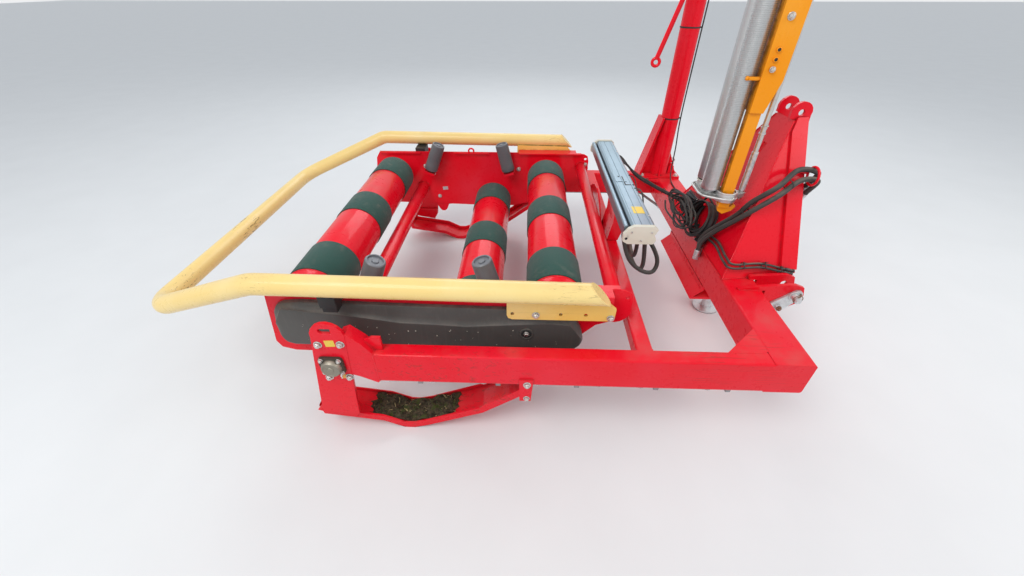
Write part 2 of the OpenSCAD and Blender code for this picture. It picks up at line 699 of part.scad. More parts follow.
module dispenser_head() color("silver") at_park() translate([0, 0, head_z]) difference() {
    union() {
        flat_arm(ribbed_at, smooth_at, 28, 14);
        translate([0, 0, 1]) flat_arm(ribbed_at, [post_x - 30, 0], 24, 12);
        flat_arm([post_x + 50, 6], spindle_at, 17, 14);
    }
    translate([post_x - 24, -32, -20]) cube([76, 64, 60]);
    film_bores();
}

module ribbed_roller() color("silver") at_park() translate(concat(ribbed_at, [0])) {
    translate([0, 0, base_z + 28]) cylinder(h = head_z - base_z - 36, r = ribbed_r);
    translate([0, 0, base_z - 4]) cylinder(h = head_z - base_z + 24, r = film_pin_r);
}

module smooth_roller() color("silver") at_park() translate(concat(smooth_at, [0])) {
    translate([0, 0, base_z + 42]) cylinder(h = head_z - base_z - 50, r = smooth_r);
    translate([0, 0, base_z - 4]) cylinder(h = head_z - base_z + 24, r = film_pin_r);
}

module film_spindle() color("silver") at_park() translate(concat(spindle_at, [0])) {
    translate([0, 0, base_z - 4]) cylinder(h = head_z - base_z + 24, r = film_pin_r);
    translate([0, 0, base_z + 26]) cylinder(h = 165, r = 13);
}

module trip_bar() color("red") at_park() {
    tube_y(1080, arm_z, 36, 36, 40 + seat, 170);
    rod([1080, 154, arm_z - 10], [849, 122, 1256], 9);
    place([849, 122, 1246], [1, 0, 0], [0, 1, 0]) rotate_extrude() translate([14, 0]) circle(r = 6);
}

// the piece to draw, or all of them

frame_beams();
end_plates();
pivot_bearings();
skids();
headstock();
link_ears();
pin_plates();
mast();
overhead_beam();
slew_housing();
leg_sleeve();
parking_leg();
cutter_block();
cutter_body();
cutter_caps();
cutter_jaw();
control_box();
cable_coils();
hoses();
beam_pipe();
side_plates();
pivot_tube();
cross_tube();
side_cover();
loop();
loop_flanges();
buffers();
roller_motor();
roller(rollers[0]);  // roller_1
roller(rollers[1]);  // roller_2
roller(rollers[2]);  // roller_3
roller_bands(rollers[0]);  // bands_1
roller_bands(rollers[1]);  // bands_2
roller_bands(rollers[2]);  // bands_3
guide(0, -1);  // guide_near_left
guide(1, -1);  // guide_near_right
guide(0, 1);  // guide_far_left
guide(1, 1);  // guide_far_right
tilt_barrel(-1);  // near_barrel
tilt_rod(-1);  // near_rod
tilt_barrel(1);  // far_barrel
tilt_rod(1);  // far_rod
rotor_hub();
rotor_arm();
lower_post();
dispenser_base();
dispenser_head();
ribbed_roller();
smooth_roller();
film_spindle();
trip_bar();
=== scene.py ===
"""Bale wrapper: the looks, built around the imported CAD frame. Metres, +Z up, +X to the tractor."""
import random
from math import cos, dist, pi, radians, sin, sqrt, tan

import bmesh
import bpy
import numpy as np
from mathutils import Matrix, Vector
from mathutils.geometry import tessellate_polygon


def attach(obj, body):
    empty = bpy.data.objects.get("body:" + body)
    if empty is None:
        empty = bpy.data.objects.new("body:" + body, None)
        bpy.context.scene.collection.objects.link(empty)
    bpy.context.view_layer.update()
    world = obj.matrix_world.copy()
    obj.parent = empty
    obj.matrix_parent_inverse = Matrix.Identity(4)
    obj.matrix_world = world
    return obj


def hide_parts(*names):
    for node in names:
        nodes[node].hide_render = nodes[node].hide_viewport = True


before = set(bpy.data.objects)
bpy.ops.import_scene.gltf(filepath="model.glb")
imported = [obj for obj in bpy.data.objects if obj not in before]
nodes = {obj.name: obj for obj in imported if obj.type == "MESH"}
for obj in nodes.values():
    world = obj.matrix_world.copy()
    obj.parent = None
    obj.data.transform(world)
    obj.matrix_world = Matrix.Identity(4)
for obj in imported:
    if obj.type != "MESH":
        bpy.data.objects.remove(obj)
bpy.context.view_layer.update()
scene = bpy.context.scene
random.seed(4)

# Places that part.scad also uses
BEAM_OUT = 0.881
PIVOT = (-0.549, 0.408)
ROLLERS = ((-0.695, 0.525), (-0.08, 0.368), (0.25, 0.518))
ROLLER_R = 0.112
GUIDES = (("left", -0.474, (0.069, 0.0, 0.162)), ("right", 0.016, (-0.042, 0.0, 0.162)))
GUIDE_Y, GUIDE_Z = 0.64, 0.548
LOOP_Y, LOOP_R, LOOP_END = 0.7935, 0.03805, 1.30395
SLEW = (-0.224, 0.0)
PARK = radians(8.2)
POST_X = 1.228
RIBBED_AT, SMOOTH_AT, SPINDLE_AT = (1.162, 0.022), (1.151, 0.103), (1.293, 0.02)
BASE_Z, HEAD_Z = 0.758, 1.6
RIBBED_R, SMOOTH_R, SPINDLE_R, FILM_PIN_R = 0.038, 0.03, 0.013, 0.01
MAST_X, MAST_Y = 1.009, 0.82
CYLINDER_BASE, CYLINDER_EYE, CYLINDER_Y = Vector((0.386, 0, 0.36)), Vector((-0.434, 0, 0.25)), 0.783
LINK_PIN = (1.262, 0.449)
PIPE_Y, PIPE_Z = 0.858, 0.316
LEG_X = 1.178
REAR_FOOT = Vector((0.989, 0.388, 0.46))
REAR_TOP = Vector((1.221, 0.069, 1.047))
REAR_LEAN = Vector((REAR_TOP.x - REAR_FOOT.x, 0, REAR_TOP.z - REAR_FOOT.z)).normalized()
REAR_OUT = Vector((-REAR_LEAN.z, 0, REAR_LEAN.x))
SIDES = (-1, 1)


# Node graphs

class Graph:
    """A material and the short names with which its nodes are made."""

    def __init__(self, name, **shader):
        self.material = bpy.data.materials.new(name)
        self.material.use_nodes = True
        self.tree = self.material.node_tree
        self.shader = self.tree.nodes["Principled BSDF"]
        self.set(**shader)
        coordinates = self.tree.nodes.new("ShaderNodeTexCoord")
        self.at = coordinates.outputs["Object"]
        self.normal = coordinates.outputs["Normal"]

    def put(self, node, key, value):
        socket = node.inputs[key]
        if isinstance(value, bpy.types.NodeSocket):
            self.tree.links.new(value, socket)
        elif socket.type == "RGBA" and len(value) == 3:
            socket.default_value = (*value, 1)
        else:
            socket.default_value = value

    def node(self, kind, settings=None, **values):
        made = self.tree.nodes.new("ShaderNode" + kind)
        for key, value in (settings or {}).items():
            setattr(made, key, value)
        for key, value in values.items():
            self.put(made, int(key[1:]) if key[0] == "i" and key[1:].isdigit() else key, value)
        return made

    def math(self, operation, a, b=0.0, clamp=False):
        return self.node("Math", {"operation": operation, "use_clamp": clamp}, i0=a, i1=b).outputs[0]

    def times(self, a, b):
        return self.math("MULTIPLY", a, b)

    def plus(self, a, b):
        return self.math("ADD", a, b)

    def stretch(self, scale):
        return self.node("VectorMath", {"operation": "MULTIPLY"}, i0=self.at, i1=scale).outputs[0]

    def noise(self, scale, detail=4.0, rough=0.55, at=None, warp=0.0):
        return self.node("TexNoise", Scale=scale, Detail=detail, Roughness=rough, Distortion=warp,
            Vector=at or self.at).outputs[0]

    def cells(self, scale, output=0):
        return self.node("TexVoronoi", Scale=scale, Vector=self.at).outputs[output]

    def step(self, value, low, high, to=(0.0, 1.0)):
        return self.node("MapRange", {"interpolation_type": "SMOOTHSTEP"}, i0=value, i1=low, i2=high,
            i3=to[0], i4=to[1]).outputs[0]

    def blend(self, share, a, b):
        return self.node("Mix", {"data_type": "RGBA"}, i0=share, i6=a, i7=b).outputs[2]

    def part(self, vector, axis):
        return self.node("SeparateXYZ", i0=vector).outputs["XYZ".index(axis)]

    def openness_to_light(self):
        """How open a place is to light: 1 in open places and 0 deep in corners; the looks darken by it as
        painted shade.
        """
        return self.node("AmbientOcclusion", {"samples": 8}, Distance=0.03).outputs["AO"]

    def near(self, centre, radius):
        """1 inside a ball round a place, falling to 0 at its edge."""
        far = self.node("VectorMath", {"operation": "DISTANCE"}, i0=self.at, i1=centre).outputs["Value"]
        return self.step(far, radius / 2, radius, (1.0, 0.0))

    def bump(self, *layers):
        """Layers of height, strength and depth in metres, one on another."""
        made = None
        for height, strength, depth in layers:
            following = self.node("Bump", Height=height, Strength=strength, Distance=depth)
            if made is not None:
                self.tree.links.new(made.outputs[0], following.inputs["Normal"])
            made = following
        self.tree.links.new(made.outputs[0], self.shader.inputs["Normal"])

    def set(self, **values):
        for key, value in values.items():
            self.put(self.shader, key.replace("_", " "), value)


DUST = (0.3, 0.25, 0.19)
# near black, used for chips and for the painted shade in corners
SOOT_AND_SHADE = (0.03, 0.022, 0.016)


def paint(name, colour, pale, rough=0.24, dust=0.35, scuffs=(), wear=1.0):
    """Gloss paint that has faded in patches, with dust on top, painted shade mixed with soiling in corners
    and thin scratches.
    """
    g = Graph(name, Coat_Weight=0.24, Coat_Roughness=0.06, Coat_IOR=1.45, Specular_IOR_Level=0.16)
    broad = g.noise(2.6, 3.0)
    fine = g.noise(38.0, 5.0, 0.6)
    up = g.step(g.part(g.normal, "Z"), 0.55, 0.98)
    faded = g.times(g.step(broad, 0.42, 0.72), 0.45)
    colour_now = g.blend(faded, colour, pale)
    dusty = g.times(g.times(up, g.step(g.noise(9.0, 6.0, 0.65), 0.42, 0.75)), dust)
    colour_now = g.blend(dusty, colour_now, DUST)
    # painted shade: darker deep in corners, where little light reaches, mottled by noise as soiling
    corner_shade_and_grime = g.times(g.step(g.openness_to_light(), 0.78, 0.3), g.step(fine, 0.25, 0.62))
    colour_now = g.blend(g.times(corner_shade_and_grime, 0.62), colour_now, SOOT_AND_SHADE)
    lines = g.noise(1.0, 2.0, 0.5, g.stretch((7.0, 60.0, 520.0)), 0.3)
    scratch = g.times(g.step(lines, 0.715, 0.74), g.step(g.noise(5.0, 2.0), 0.5, 0.62))
    colour_now = g.blend(g.times(scratch, 0.55 * wear), colour_now, pale)
    chips = g.times(g.step(g.cells(58.0), 0.045, 0.025), g.step(g.noise(3.2, 2.0), 0.62, 0.68))
    colour_now = g.blend(g.times(chips, 0.4 * wear), colour_now, SOOT_AND_SHADE)
    for centre, radius, stroke, strength in scuffs:
        strokes = g.noise(1.0, 3.0, 0.6, g.stretch(stroke), 1.2)
        mask = g.times(g.near(centre, radius), g.step(strokes, 0.585, 0.64))
        colour_now = g.blend(g.times(mask, strength), colour_now, (0.1, 0.045, 0.02))
    g.set(Base_Color=colour_now)
    rough_now = g.plus(rough, g.times(g.plus(dusty, corner_shade_and_grime), 0.5))
    g.set(Roughness=g.plus(rough_now, g.times(fine, 0.08)))
    g.bump((g.noise(260.0, 2.0, 0.5), 0.1, 0.0006), (lines, 0.06, 0.0004), (broad, 0.2, 0.004))
    return g.material


def metal(name, colour, rough=0.35, metallic=1.0, grain=None, spangle=0.0, corner_shade_and_dirt=0.5, rust=0.0, cast=0.0):
    """Bare metal: brushed along a direction, zinc with spangles, or as cast."""
    g = Graph(name, Metallic=metallic)
    fine = g.noise(60.0, 5.0, 0.6)
    colour_now = g.blend(g.times(g.noise(7.0, 4.0), 0.5), colour, tuple(c * 0.62 for c in colour))
    layers = [(fine, 0.1, 0.0006)]
    rough_now = g.plus(rough, g.times(g.noise(14.0, 4.0), 0.16))
    if spangle:
        flake = g.cells(95.0, output=1)
        tone = g.part(flake, "X")
        colour_now = g.blend(g.times(tone, spangle), colour_now, tuple(min(1, c * 1.35) for c in colour))
        rough_now = g.plus(rough_now, g.times(tone, 0.1))
    if grain:
        lines = g.noise(1.0, 3.0, 0.6, g.stretch(grain))
        colour_now = g.blend(g.times(lines, 0.35), colour_now, tuple(c * 0.5 for c in colour))
        layers.append((lines, 0.14, 0.0004))
    if cast:
        layers.append((g.noise(210.0, 3.0, 0.7), cast, 0.0012))
    # painted shade: darker deep in corners, where little light reaches, mottled by noise as soiling
    corner_shade_and_grime = g.times(g.step(g.openness_to_light(), 0.82, 0.3), g.step(fine, 0.2, 0.6))
    colour_now = g.blend(g.times(corner_shade_and_grime, corner_shade_and_dirt), colour_now, SOOT_AND_SHADE)
    rusty = g.times(g.step(g.noise(26.0, 6.0, 0.7), 0.6 - 0.16 * rust, 0.7), min(1.0, rust))
    colour_now = g.blend(rusty, colour_now, (0.16, 0.05, 0.014))
    g.set(Base_Color=colour_now, Roughness=g.plus(rough_now, g.times(g.plus(corner_shade_and_grime, rusty), 0.4)))
    if rust:
        g.set(Metallic=g.times(g.math("SUBTRACT", 1.0, rusty, True), metallic))
    g.bump(*layers)
    return g.material


def plastic(name, colour, rough=0.45, dust=0.35, grain=420.0, depth=0.0005, streaks=0.0):
    """Moulded plastic or rubber with a fine grain, dust on top and paler rub marks."""
    g = Graph(name, Specular_IOR_Level=0.42)
    pale = tuple(min(1.0, c * 2.2 + 0.03) for c in colour)
    colour_now = g.blend(g.times(g.noise(6.0, 4.0), 0.45), colour, pale)
    up = g.step(g.part(g.normal, "Z"), 0.2, 0.95)
    dusty = g.times(g.times(up, g.step(g.noise(12.0, 6.0, 0.65), 0.35, 0.75)), dust)
    colour_now = g.blend(dusty, colour_now, DUST)
    if streaks:
        runs = g.step(g.noise(1.0, 3.0, 0.6, g.stretch((70.0, 70.0, 4.0))), 0.5, 0.75)
        colour_now = g.blend(g.times(runs, streaks), colour_now, (0.16, 0.15, 0.13))
    splash = g.times(g.step(g.cells(70.0), 0.085, 0.05), g.step(g.noise(4.0, 3.0), 0.5, 0.66))
    colour_now = g.blend(g.times(splash, 0.5), colour_now, (0.24, 0.21, 0.17))
    g.set(Base_Color=colour_now, Roughness=g.plus(rough, g.times(dusty, 0.5)))
    g.bump((g.noise(grain, 2.0, 0.5), 0.16, depth))
    return g.material


def banding(name, roller):
    """Dark green friction lining with a weave of small squares that runs round its roller."""
    g = Graph(name, Specular_IOR_Level=0.35, Sheen_Weight=0.15, Sheen_Roughness=0.5)
    x = g.math("SUBTRACT", g.part(g.at, "X"), roller[0])
    z = g.math("SUBTRACT", g.part(g.at, "Z"), roller[1])
    round_way = g.times(g.math("ARCTAN2", z, x), ROLLER_R)
    pitch = 2 * pi / 0.0045
    a = g.math("SINE", g.times(round_way, pitch))
    b = g.math("SINE", g.times(g.part(g.at, "Y"), pitch))
    weave = g.step(g.times(a, b), -0.4, 0.4)
    colour = g.blend(g.times(g.noise(8.0, 5.0), 0.6), (0.006, 0.066, 0.048), (0.012, 0.105, 0.078))
    colour = g.blend(g.times(weave, 0.6), colour, (0.002, 0.026, 0.019))
    soiled = g.times(g.step(g.noise(17.0, 5.0, 0.7), 0.52, 0.74), 0.22)
    colour = g.blend(soiled, colour, DUST)
    g.set(Base_Color=colour, Roughness=0.72)
    g.bump((weave, 0.7, 0.001), (g.noise(90.0, 3.0), 0.12, 0.001))
    return g.material


def soil(name):
    """Damp earth with moss and dead grass."""
    g = Graph(name, Roughness=0.95, Specular_IOR_Level=0.2)
    colour = g.blend(g.step(g.noise(60.0, 6.0, 0.7), 0.35, 0.7), (0.026, 0.019, 0.012),
        (0.105, 0.078, 0.046))
    colour = g.blend(g.step(g.noise(22.0, 4.0), 0.52, 0.66), colour, (0.06, 0.07, 0.018))
    colour = g.blend(g.step(g.cells(150.0), 0.1, 0.05), colour, (0.3, 0.24, 0.15))
    g.set(Base_Color=colour)
    g.bump((g.noise(180.0, 6.0, 0.75), 0.9, 0.004), (g.cells(90.0), 0.6, 0.003))
    return g.material


def label(name, colour):
    """A blank sticker, a little faded and dirty in spots."""
    g = Graph(name, Specular_IOR_Level=0.5, Coat_Weight=0.3, Coat_Roughness=0.2)
    tone = g.blend(g.times(g.noise(30.0, 4.0), 0.5), colour, tuple(c * 0.75 + 0.05 for c in colour))
    tone = g.blend(g.step(g.noise(120.0, 5.0, 0.7), 0.6, 0.72), tone, tuple(c * 0.4 for c in colour))
    g.set(Base_Color=tone, Roughness=0.42)
    g.bump((g.noise(300.0, 2.0), 0.08, 0.0003))
    return g.material


RED = (0.8, 0.003, 0.016)
RED_PALE = (0.82, 0.032, 0.06)
CREAM = (0.88, 0.64, 0.24)
CREAM_PALE = (0.92, 0.75, 0.38)

red = paint("red_paint", RED, RED_PALE, dust=0.16, scuffs=(
    ((0.88, -0.881, 0.345), 0.3, (5.0, 60.0, 330.0), 0.3),
    ((-0.16, -0.85, 0.1), 0.55, (30.0, 60.0, 60.0), 0.35)))
cream = paint("cream_paint", CREAM, CREAM_PALE, dust=0.12, scuffs=(
    ((0.3, -LOOP_Y, 0.72), 0.13, (30.0, 200.0, 160.0), 0.28),
    ((-1.28, -0.05, 0.5), 0.12, (60.0, 12.0, 120.0), 0.9),
    ((-1.2, -0.55, 0.52), 0.16, (40.0, 40.0, 160.0), 0.6),
    ((0.33, LOOP_Y, 0.72), 0.13, (30.0, 200.0, 160.0), 0.3),
    ((-0.75, -LOOP_Y, 0.72), 0.08, (60.0, 160.0, 160.0), 0.28)))
yellow = paint("yellow_paint", (0.88, 0.56, 0.13), CREAM_PALE, dust=0.1)
orange = paint("orange_paint", (0.9, 0.31, 0.006), (0.92, 0.42, 0.05), dust=0.15)
zinc = metal("galvanised", (0.66, 0.67, 0.68), 0.36, spangle=0.45)
bolt_zinc = metal("bolt_zinc", (0.72, 0.71, 0.68), 0.3, corner_shade_and_dirt=0.7, rust=0.35)
greasy_steel = metal("greasy_steel", (0.36, 0.33, 0.27), 0.38, corner_shade_and_dirt=0.8, rust=0.3)
bearing_brown = metal("bearing_brown", (0.085, 0.068, 0.05), 0.55, metallic=0.4, cast=0.5, corner_shade_and_dirt=0.5,
    rust=0.5)
cast_grey = metal("cast_grey", (0.2, 0.2, 0.19), 0.52, metallic=0.55, cast=0.5, corner_shade_and_dirt=0.7, rust=0.25)
cast_alloy = metal("cast_alloy", (0.66, 0.67, 0.66), 0.42, cast=0.22, corner_shade_and_dirt=0.6)
alloy_profile = metal("alloy_profile", (0.36, 0.47, 0.55), 0.3, grain=(260.0, 3.0, 260.0), corner_shade_and_dirt=0.5)
roller_alloy = metal("roller_alloy", (0.7, 0.71, 0.71), 0.3, grain=(3.0, 3.0, 500.0), corner_shade_and_dirt=0.35)
chrome = metal("rod_chrome", (0.78, 0.78, 0.79), 0.1, corner_shade_and_dirt=0.15)
rusty = metal("rusty_steel", (0.32, 0.2, 0.14), 0.6, metallic=0.5, corner_shade_and_dirt=0.6, rust=1.0)
casting = plastic("cream_casting", (0.6, 0.56, 0.42), 0.42, dust=0.25)
cover_grey = plastic("dark_plastic", (0.055, 0.052, 0.047), 0.46, streaks=0.16)
guide_cap = plastic("guide_cap", (0.125, 0.13, 0.145), 0.34, dust=0.15)
guide_grey = plastic("guide_plastic", (0.085, 0.086, 0.09), 0.4, dust=0.2)
box_black = plastic("black_plastic", (0.01, 0.01, 0.012), 0.22, dust=0.25)
rubber = plastic("black_rubber", (0.014, 0.014, 0.014), 0.55, dust=0.3)
hose_rubber = plastic("hose_rubber", (0.03, 0.027, 0.024), 0.55, dust=0.6, grain=800.0)
barrel_black = paint("barrel_paint", (0.012, 0.012, 0.013), (0.05, 0.05, 0.052), rough=0.35, dust=0.4,
    wear=0.5)
pipe_grey = metal("grey_pipe", (0.34, 0.34, 0.34), 0.45, metallic=0.8, corner_shade_and_dirt=0.6)
earth = soil("earth")
moss = plastic("moss", (0.045, 0.062, 0.012), 0.8, dust=0.2)
straw = plastic("straw", (0.4, 0.31, 0.14), 0.75, dust=0.1)
yellow_label = label("yellow_label", (0.85, 0.58, 0.04))
amber_label = label("amber_label", (0.8, 0.36, 0.03))
green_bands = [banding(f"green_rubber_{i + 1}", p) for i, p in enumerate(ROLLERS)]

NODE_LOOKS = {name: look for look, names in (
    (zinc, "pin_plates parking_leg film_spindle"),
    (cast_grey, "pivot_bearings slew_housing rotor_hub roller_motor"),
    (cast_alloy, "dispenser_base dispenser_head"),
    (roller_alloy, "ribbed_roller smooth_roller"),
    (alloy_profile, "cutter_body cutter_jaw"),
    (casting, "cutter_caps"),
    (box_black, "control_box"),
    (rubber, "cable_coils buffers"),
    (hose_rubber, "hoses"),
    (pipe_grey, "beam_pipe"),
    (cover_grey, "side_cover"),
    (cream, "loop"),
    (yellow, "loop_flanges"),
    (orange, "rotor_arm lower_post"),
    (green_bands[0], "bands_1"),
    (green_bands[1], "bands_2"),
    (green_bands[2], "bands_3"),
    (guide_grey, "guide_near_left guide_near_right guide_far_left guide_far_right"),
    (barrel_black, "near_barrel far_barrel"),
    (chrome, "near_rod far_rod"),
) for name in names.split()}
ROUNDED_EDGE = 0.0012


def round_edges(made, width, sharper_than):
    edge = made.modifiers.new("edge", "BEVEL")
    edge.width = width
    edge.segments = 2
    edge.limit_method = "ANGLE"
    edge.angle_limit = radians(sharper_than)


def dress_cad_nodes():
    """Gives every CAD node its material and, where its edges are sharp, a narrow rounding."""
    for name, node in nodes.items():
        node.data.materials.clear()
        node.data.materials.append(NODE_LOOKS.get(name, red))
        weld = node.modifiers.new("weld", "WELD")
        weld.merge_threshold = 0.00002
        round_edges(node, ROUNDED_EDGE, 34)


dress_cad_nodes()


# Forms

def circle(x, y, radius, count, first=0.0):
    """Points evenly round a circle, the first at that angle."""
    return [(x + radius * cos(first + 2 * pi * i / count), y + radius * sin(first + 2 * pi * i / count))
        for i in range(count)]


def ring(inner, outer, low, high):
    """The outline of a ring, for lathe."""
    return [(inner, low), (outer, low), (outer, high), (inner, high), (inner, low)]


class Build:
    """A mesh put together from simple forms, each with its own material."""

    def __init__(self):
        self.points, self.faces, self.looks, self.slots = [], [], [], []

    def add(self, points, faces, look, at=Matrix()):
        if look not in self.looks:
            self.looks.append(look)
        start = len(self.points)
        self.points += [tuple(at @ Vector(p)) for p in points]
        self.faces += [[start + i for i in face] for face in faces]
        self.slots += [self.looks.index(look)] * len(faces)

    def lathe(self, outline, look, at=Matrix(), sides=32):
        """A turned form; the outline is radius and height, from its foot to its top."""
        points, faces, last = [], [], None
        for radius, height in outline:
            count = sides if radius > 1e-6 else 1
            level = range(len(points), len(points) + count)
            points += [(x, y, height) for x, y in circle(0, 0, radius, sides)[:count]]
            for i in range(sides if last is not None else 0):
                j = (i + 1) % sides
                corners = (last[i % len(last)], last[j % len(last)], level[j % count], level[i % count])
                faces.append(list(dict.fromkeys(corners)))
            last = level
        self.add(points, [f for f in faces if len(f) > 2], look, at)

    def prism(self, outline, depth, look, at=Matrix()):
        n = len(outline)
        points = [(x, y, z) for z in (0, depth) for x, y in outline]
        walls = [[i, (i + 1) % n, n + (i + 1) % n, n + i] for i in range(n)]
        self.add(points, [list(range(n))[::-1], list(range(n, 2 * n))] + walls, look, at)

    def plate(self, outline, holes, depth, look, at=Matrix()):
        """A flat plate; each hole is its middle and radius."""
        rims = [list(outline)] + [circle(*hole, 24) for hole in holes]
        flat = [p for rim in rims for p in rim]
        skin = tessellate_polygon([[Vector((*p, 0)) for p in rim] for rim in rims])
        n = len(flat)
        faces = [list(f) for f in skin] + [[n + i for i in f] for f in skin]
        start = 0
        for rim in rims:
            count = len(rim)
            faces += [[start + i, start + (i + 1) % count, n + start + (i + 1) % count, n + start + i]
                for i in range(count)]
            start += count
        self.add([(x, y, z) for z in (0, depth) for x, y in flat], faces, look, at)

    def block(self, size, look, at=Matrix()):
        """A cuboid that stands on the middle of its foot."""
        x, y = size[0] / 2, size[1] / 2
        self.prism([(-x, -y), (x, -y), (x, y), (-x, y)], size[2], look, at)

    def pipe(self, path, radius, look, sides=12, closed=False):
        """A round bar along a path; radius is a number or one number a point."""
        path = [Vector(p) for p in path]
        count = len(path)
        sizes = radius if isinstance(radius, (list, tuple)) else [radius] * count
        ahead = [(path[(i + 1) % count] if closed or i < count - 1 else path[i])
            - (path[i - 1] if closed or i else path[i]) for i in range(count)]
        ahead = [v.normalized() for v in ahead]
        side = ahead[0].orthogonal().normalized()
        points = []
        for here, along, size in zip(path, ahead, sizes):
            side = (side - along * side.dot(along)).normalized()
            up = along.cross(side)
            for j in range(sides):
                turn = 2 * pi * j / sides
                points.append(here + (side * cos(turn) + up * sin(turn)) * size)
        faces = []
        for i in range(count if closed else count - 1):
            a, b = i * sides, (i + 1) % count * sides
            faces += [[a + j, a + (j + 1) % sides, b + (j + 1) % sides, b + j] for j in range(sides)]
        if not closed:
            faces += [list(range(sides))[::-1], list(range((count - 1) * sides, count * sides))]
        self.add(points, faces, look)

    def grid(self, rows, look):
        """A skin over rows of points."""
        width = len(rows[0])
        points = [p for row in rows for p in row]
        faces = [[r * width + c, r * width + c + 1, (r + 1) * width + c + 1, (r + 1) * width + c]
            for r in range(len(rows) - 1) for c in range(width - 1)]
        self.add(points, faces, look)


def shift(x, y, z):
    return Matrix.Translation((x, y, z))


def place(at, out=(0, 0, 1), along=None):
    """Where a form goes: its foot at a point and its z along out."""
    z = Vector(out).normalized()
    x = Vector(along) if along else Vector((0, 0, 1)) if abs(z.z) < 0.9 else Vector((1, 0, 0))
    x = (x - z * x.dot(z)).normalized()
    return Matrix.Translation(at) @ Matrix((x, z.cross(x), z)).transposed().to_4x4()


def smooth(points, per_span=7):
    """A curve through the points."""
    p = [Vector(q) for q in points]
    p = [2 * p[0] - p[1]] + p + [2 * p[-1] - p[-2]]
    made = []
    for a, b, c, d in zip(p, p[1:], p[2:], p[3:]):
        for i in range(per_span):
            t = i / per_span
            made.append(0.5 * (2 * b + (c - a) * t + (2 * a - 5 * b + 4 * c - d) * t * t
                + (3 * b - a - 3 * c + d) * t ** 3))
    return made + [p[-2]]


def rounded(width, height, radius, steps=5):
    """The outline of a rectangle with round corners, about its middle."""
    made = []
    for sx, sy, start in ((1, 1, 0), (-1, 1, 90), (-1, -1, 180), (1, -1, 270)):
        for i in range(steps + 1):
            turn = radians(start + 90 * i / steps)
            made.append((sx * (width / 2 - radius) + radius * cos(turn),
                sy * (height / 2 - radius) + radius * sin(turn)))
    return made


def hull(points):
    """The outline round flat points, evenly spaced."""
    points = sorted(set(points))
    halves = []
    for row in (points, points[::-1]):
        made = []
        for p in row:
            while len(made) > 1 and ((made[-1][0] - made[-2][0]) * (p[1] - made[-2][1])
                    - (made[-1][1] - made[-2][1]) * (p[0] - made[-2][0])) <= 0:
                made.pop()
            made.append(p)
        halves += made[:-1]
    even = []
    for a, c in zip(halves, halves[1:] + halves[:1]):
        steps = max(1, round(dist(a, c) / 0.006))
        even += [(a[0] + (c[0] - a[0]) * i / steps, a[1] + (c[1] - a[1]) * i / steps)
            for i in range(steps)]
    return even


def piece(name, body, build, bevel=0.0, sharp=38.0, replaces=()):
    """Makes the mesh, rounds its edges, and lets it ride on a body."""
    mesh = bpy.data.meshes.new(name)
    mesh.from_pydata(build.points, [], build.faces)
    for look in build.looks:
        mesh.materials.append(look)
    mesh.polygons.foreach_set("material_index", build.slots)
    work = bmesh.new()
    work.from_mesh(mesh)
    bmesh.ops.recalc_face_normals(work, faces=work.faces)
    for face in work.faces:
        face.smooth = True
    for edge in work.edges:
        edge.smooth = len(edge.link_faces) == 2 and edge.calc_face_angle(0.0) < radians(sharp)
    work.to_mesh(mesh)
    work.free()
    made = bpy.data.objects.new(name, mesh)
    scene.collection.objects.link(made)
    if bevel:
        round_edges(made, bevel, sharp)
    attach(made, body)
    if replaces:
        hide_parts(*replaces)
    return made


def bolt(b, at, out, size=0.012, look=None, washer=1.2, tail=True):
    """A hexagon head or nut of that radius on a washer, with the end of its thread."""
    look = look or bolt_zinc
    here = place(at, out)
    lift = 0.0
    if washer:
        wide = size * washer
        b.lathe([(0, 0), (wide, 0), (wide, 0.0018), (wide - 0.0007, 0.0024), (0, 0.0024)], look, here, 24)
        lift = 0.0024
    head = here @ shift(0, 0, lift) @ Matrix.Rotation(random.uniform(0, 1), 4, "Z")
    b.lathe([(0, 0), (size * 0.92, 0), (size * 0.92, size * 0.55), (size * 0.78, size * 0.7),
        (0, size * 0.7)], look, head, 6)
    if tail:
        b.lathe([(0, 0), (size * 0.5, 0), (size * 0.5, size * 0.92), (size * 0.4, size * 1.02),
            (0, size * 1.02)], look, head, 12)


def screw(b, at, out, size):
    """A round head with a hexagon socket."""
    shape = ((0, 0), (1, 0), (0.9, 0.45), (0.55, 0.62), (0.42, 0.62), (0.42, 0.25), (0, 0.25))
    b.lathe([(size * r, size * h) for r, h in shape], bolt_zinc, place(at, out), 14)


def bead(b, start, end, size, look=None):
    """A weld bead, a round bar whose girth goes up and down."""
    start, end = Vector(start), Vector(end)
    count = max(4, int((end - start).length / 0.0028))
    sizes = [size * (0.86 + 0.14 * cos(i * 1.9) + 0.06 * sin(i * 0.37)) for i in range(count + 1)]
    b.pipe([start.lerp(end, i / count) for i in range(count + 1)], sizes, look or red, 7)


def ring_bead(b, at, out, radius, size, look=None):
    """A weld bead round a tube."""
    here = place(at, out)
    count = int(2 * pi * radius / 0.003)
    b.pipe([here @ Vector((x, y, 0)) for x, y in circle(0, 0, radius, count)],
        [size * (0.88 + 0.14 * cos(i * 1.9)) for i in range(count)], look or red, 7, closed=True)


def tie(b, at, along, radius):
    """A cable tie round a bundle, with its lock and cut end."""
    here = place(at, along)
    b.lathe(ring(radius, radius + 0.0016, -0.0022, 0.0022), rubber, here, 20)
    b.block((0.0055, 0.006, 0.005), rubber, here @ shift(radius + 0.0025, 0, -0.0025))
    b.block((0.0012, 0.004, 0.011), rubber, here @ shift(radius + 0.003, 0, 0.002))


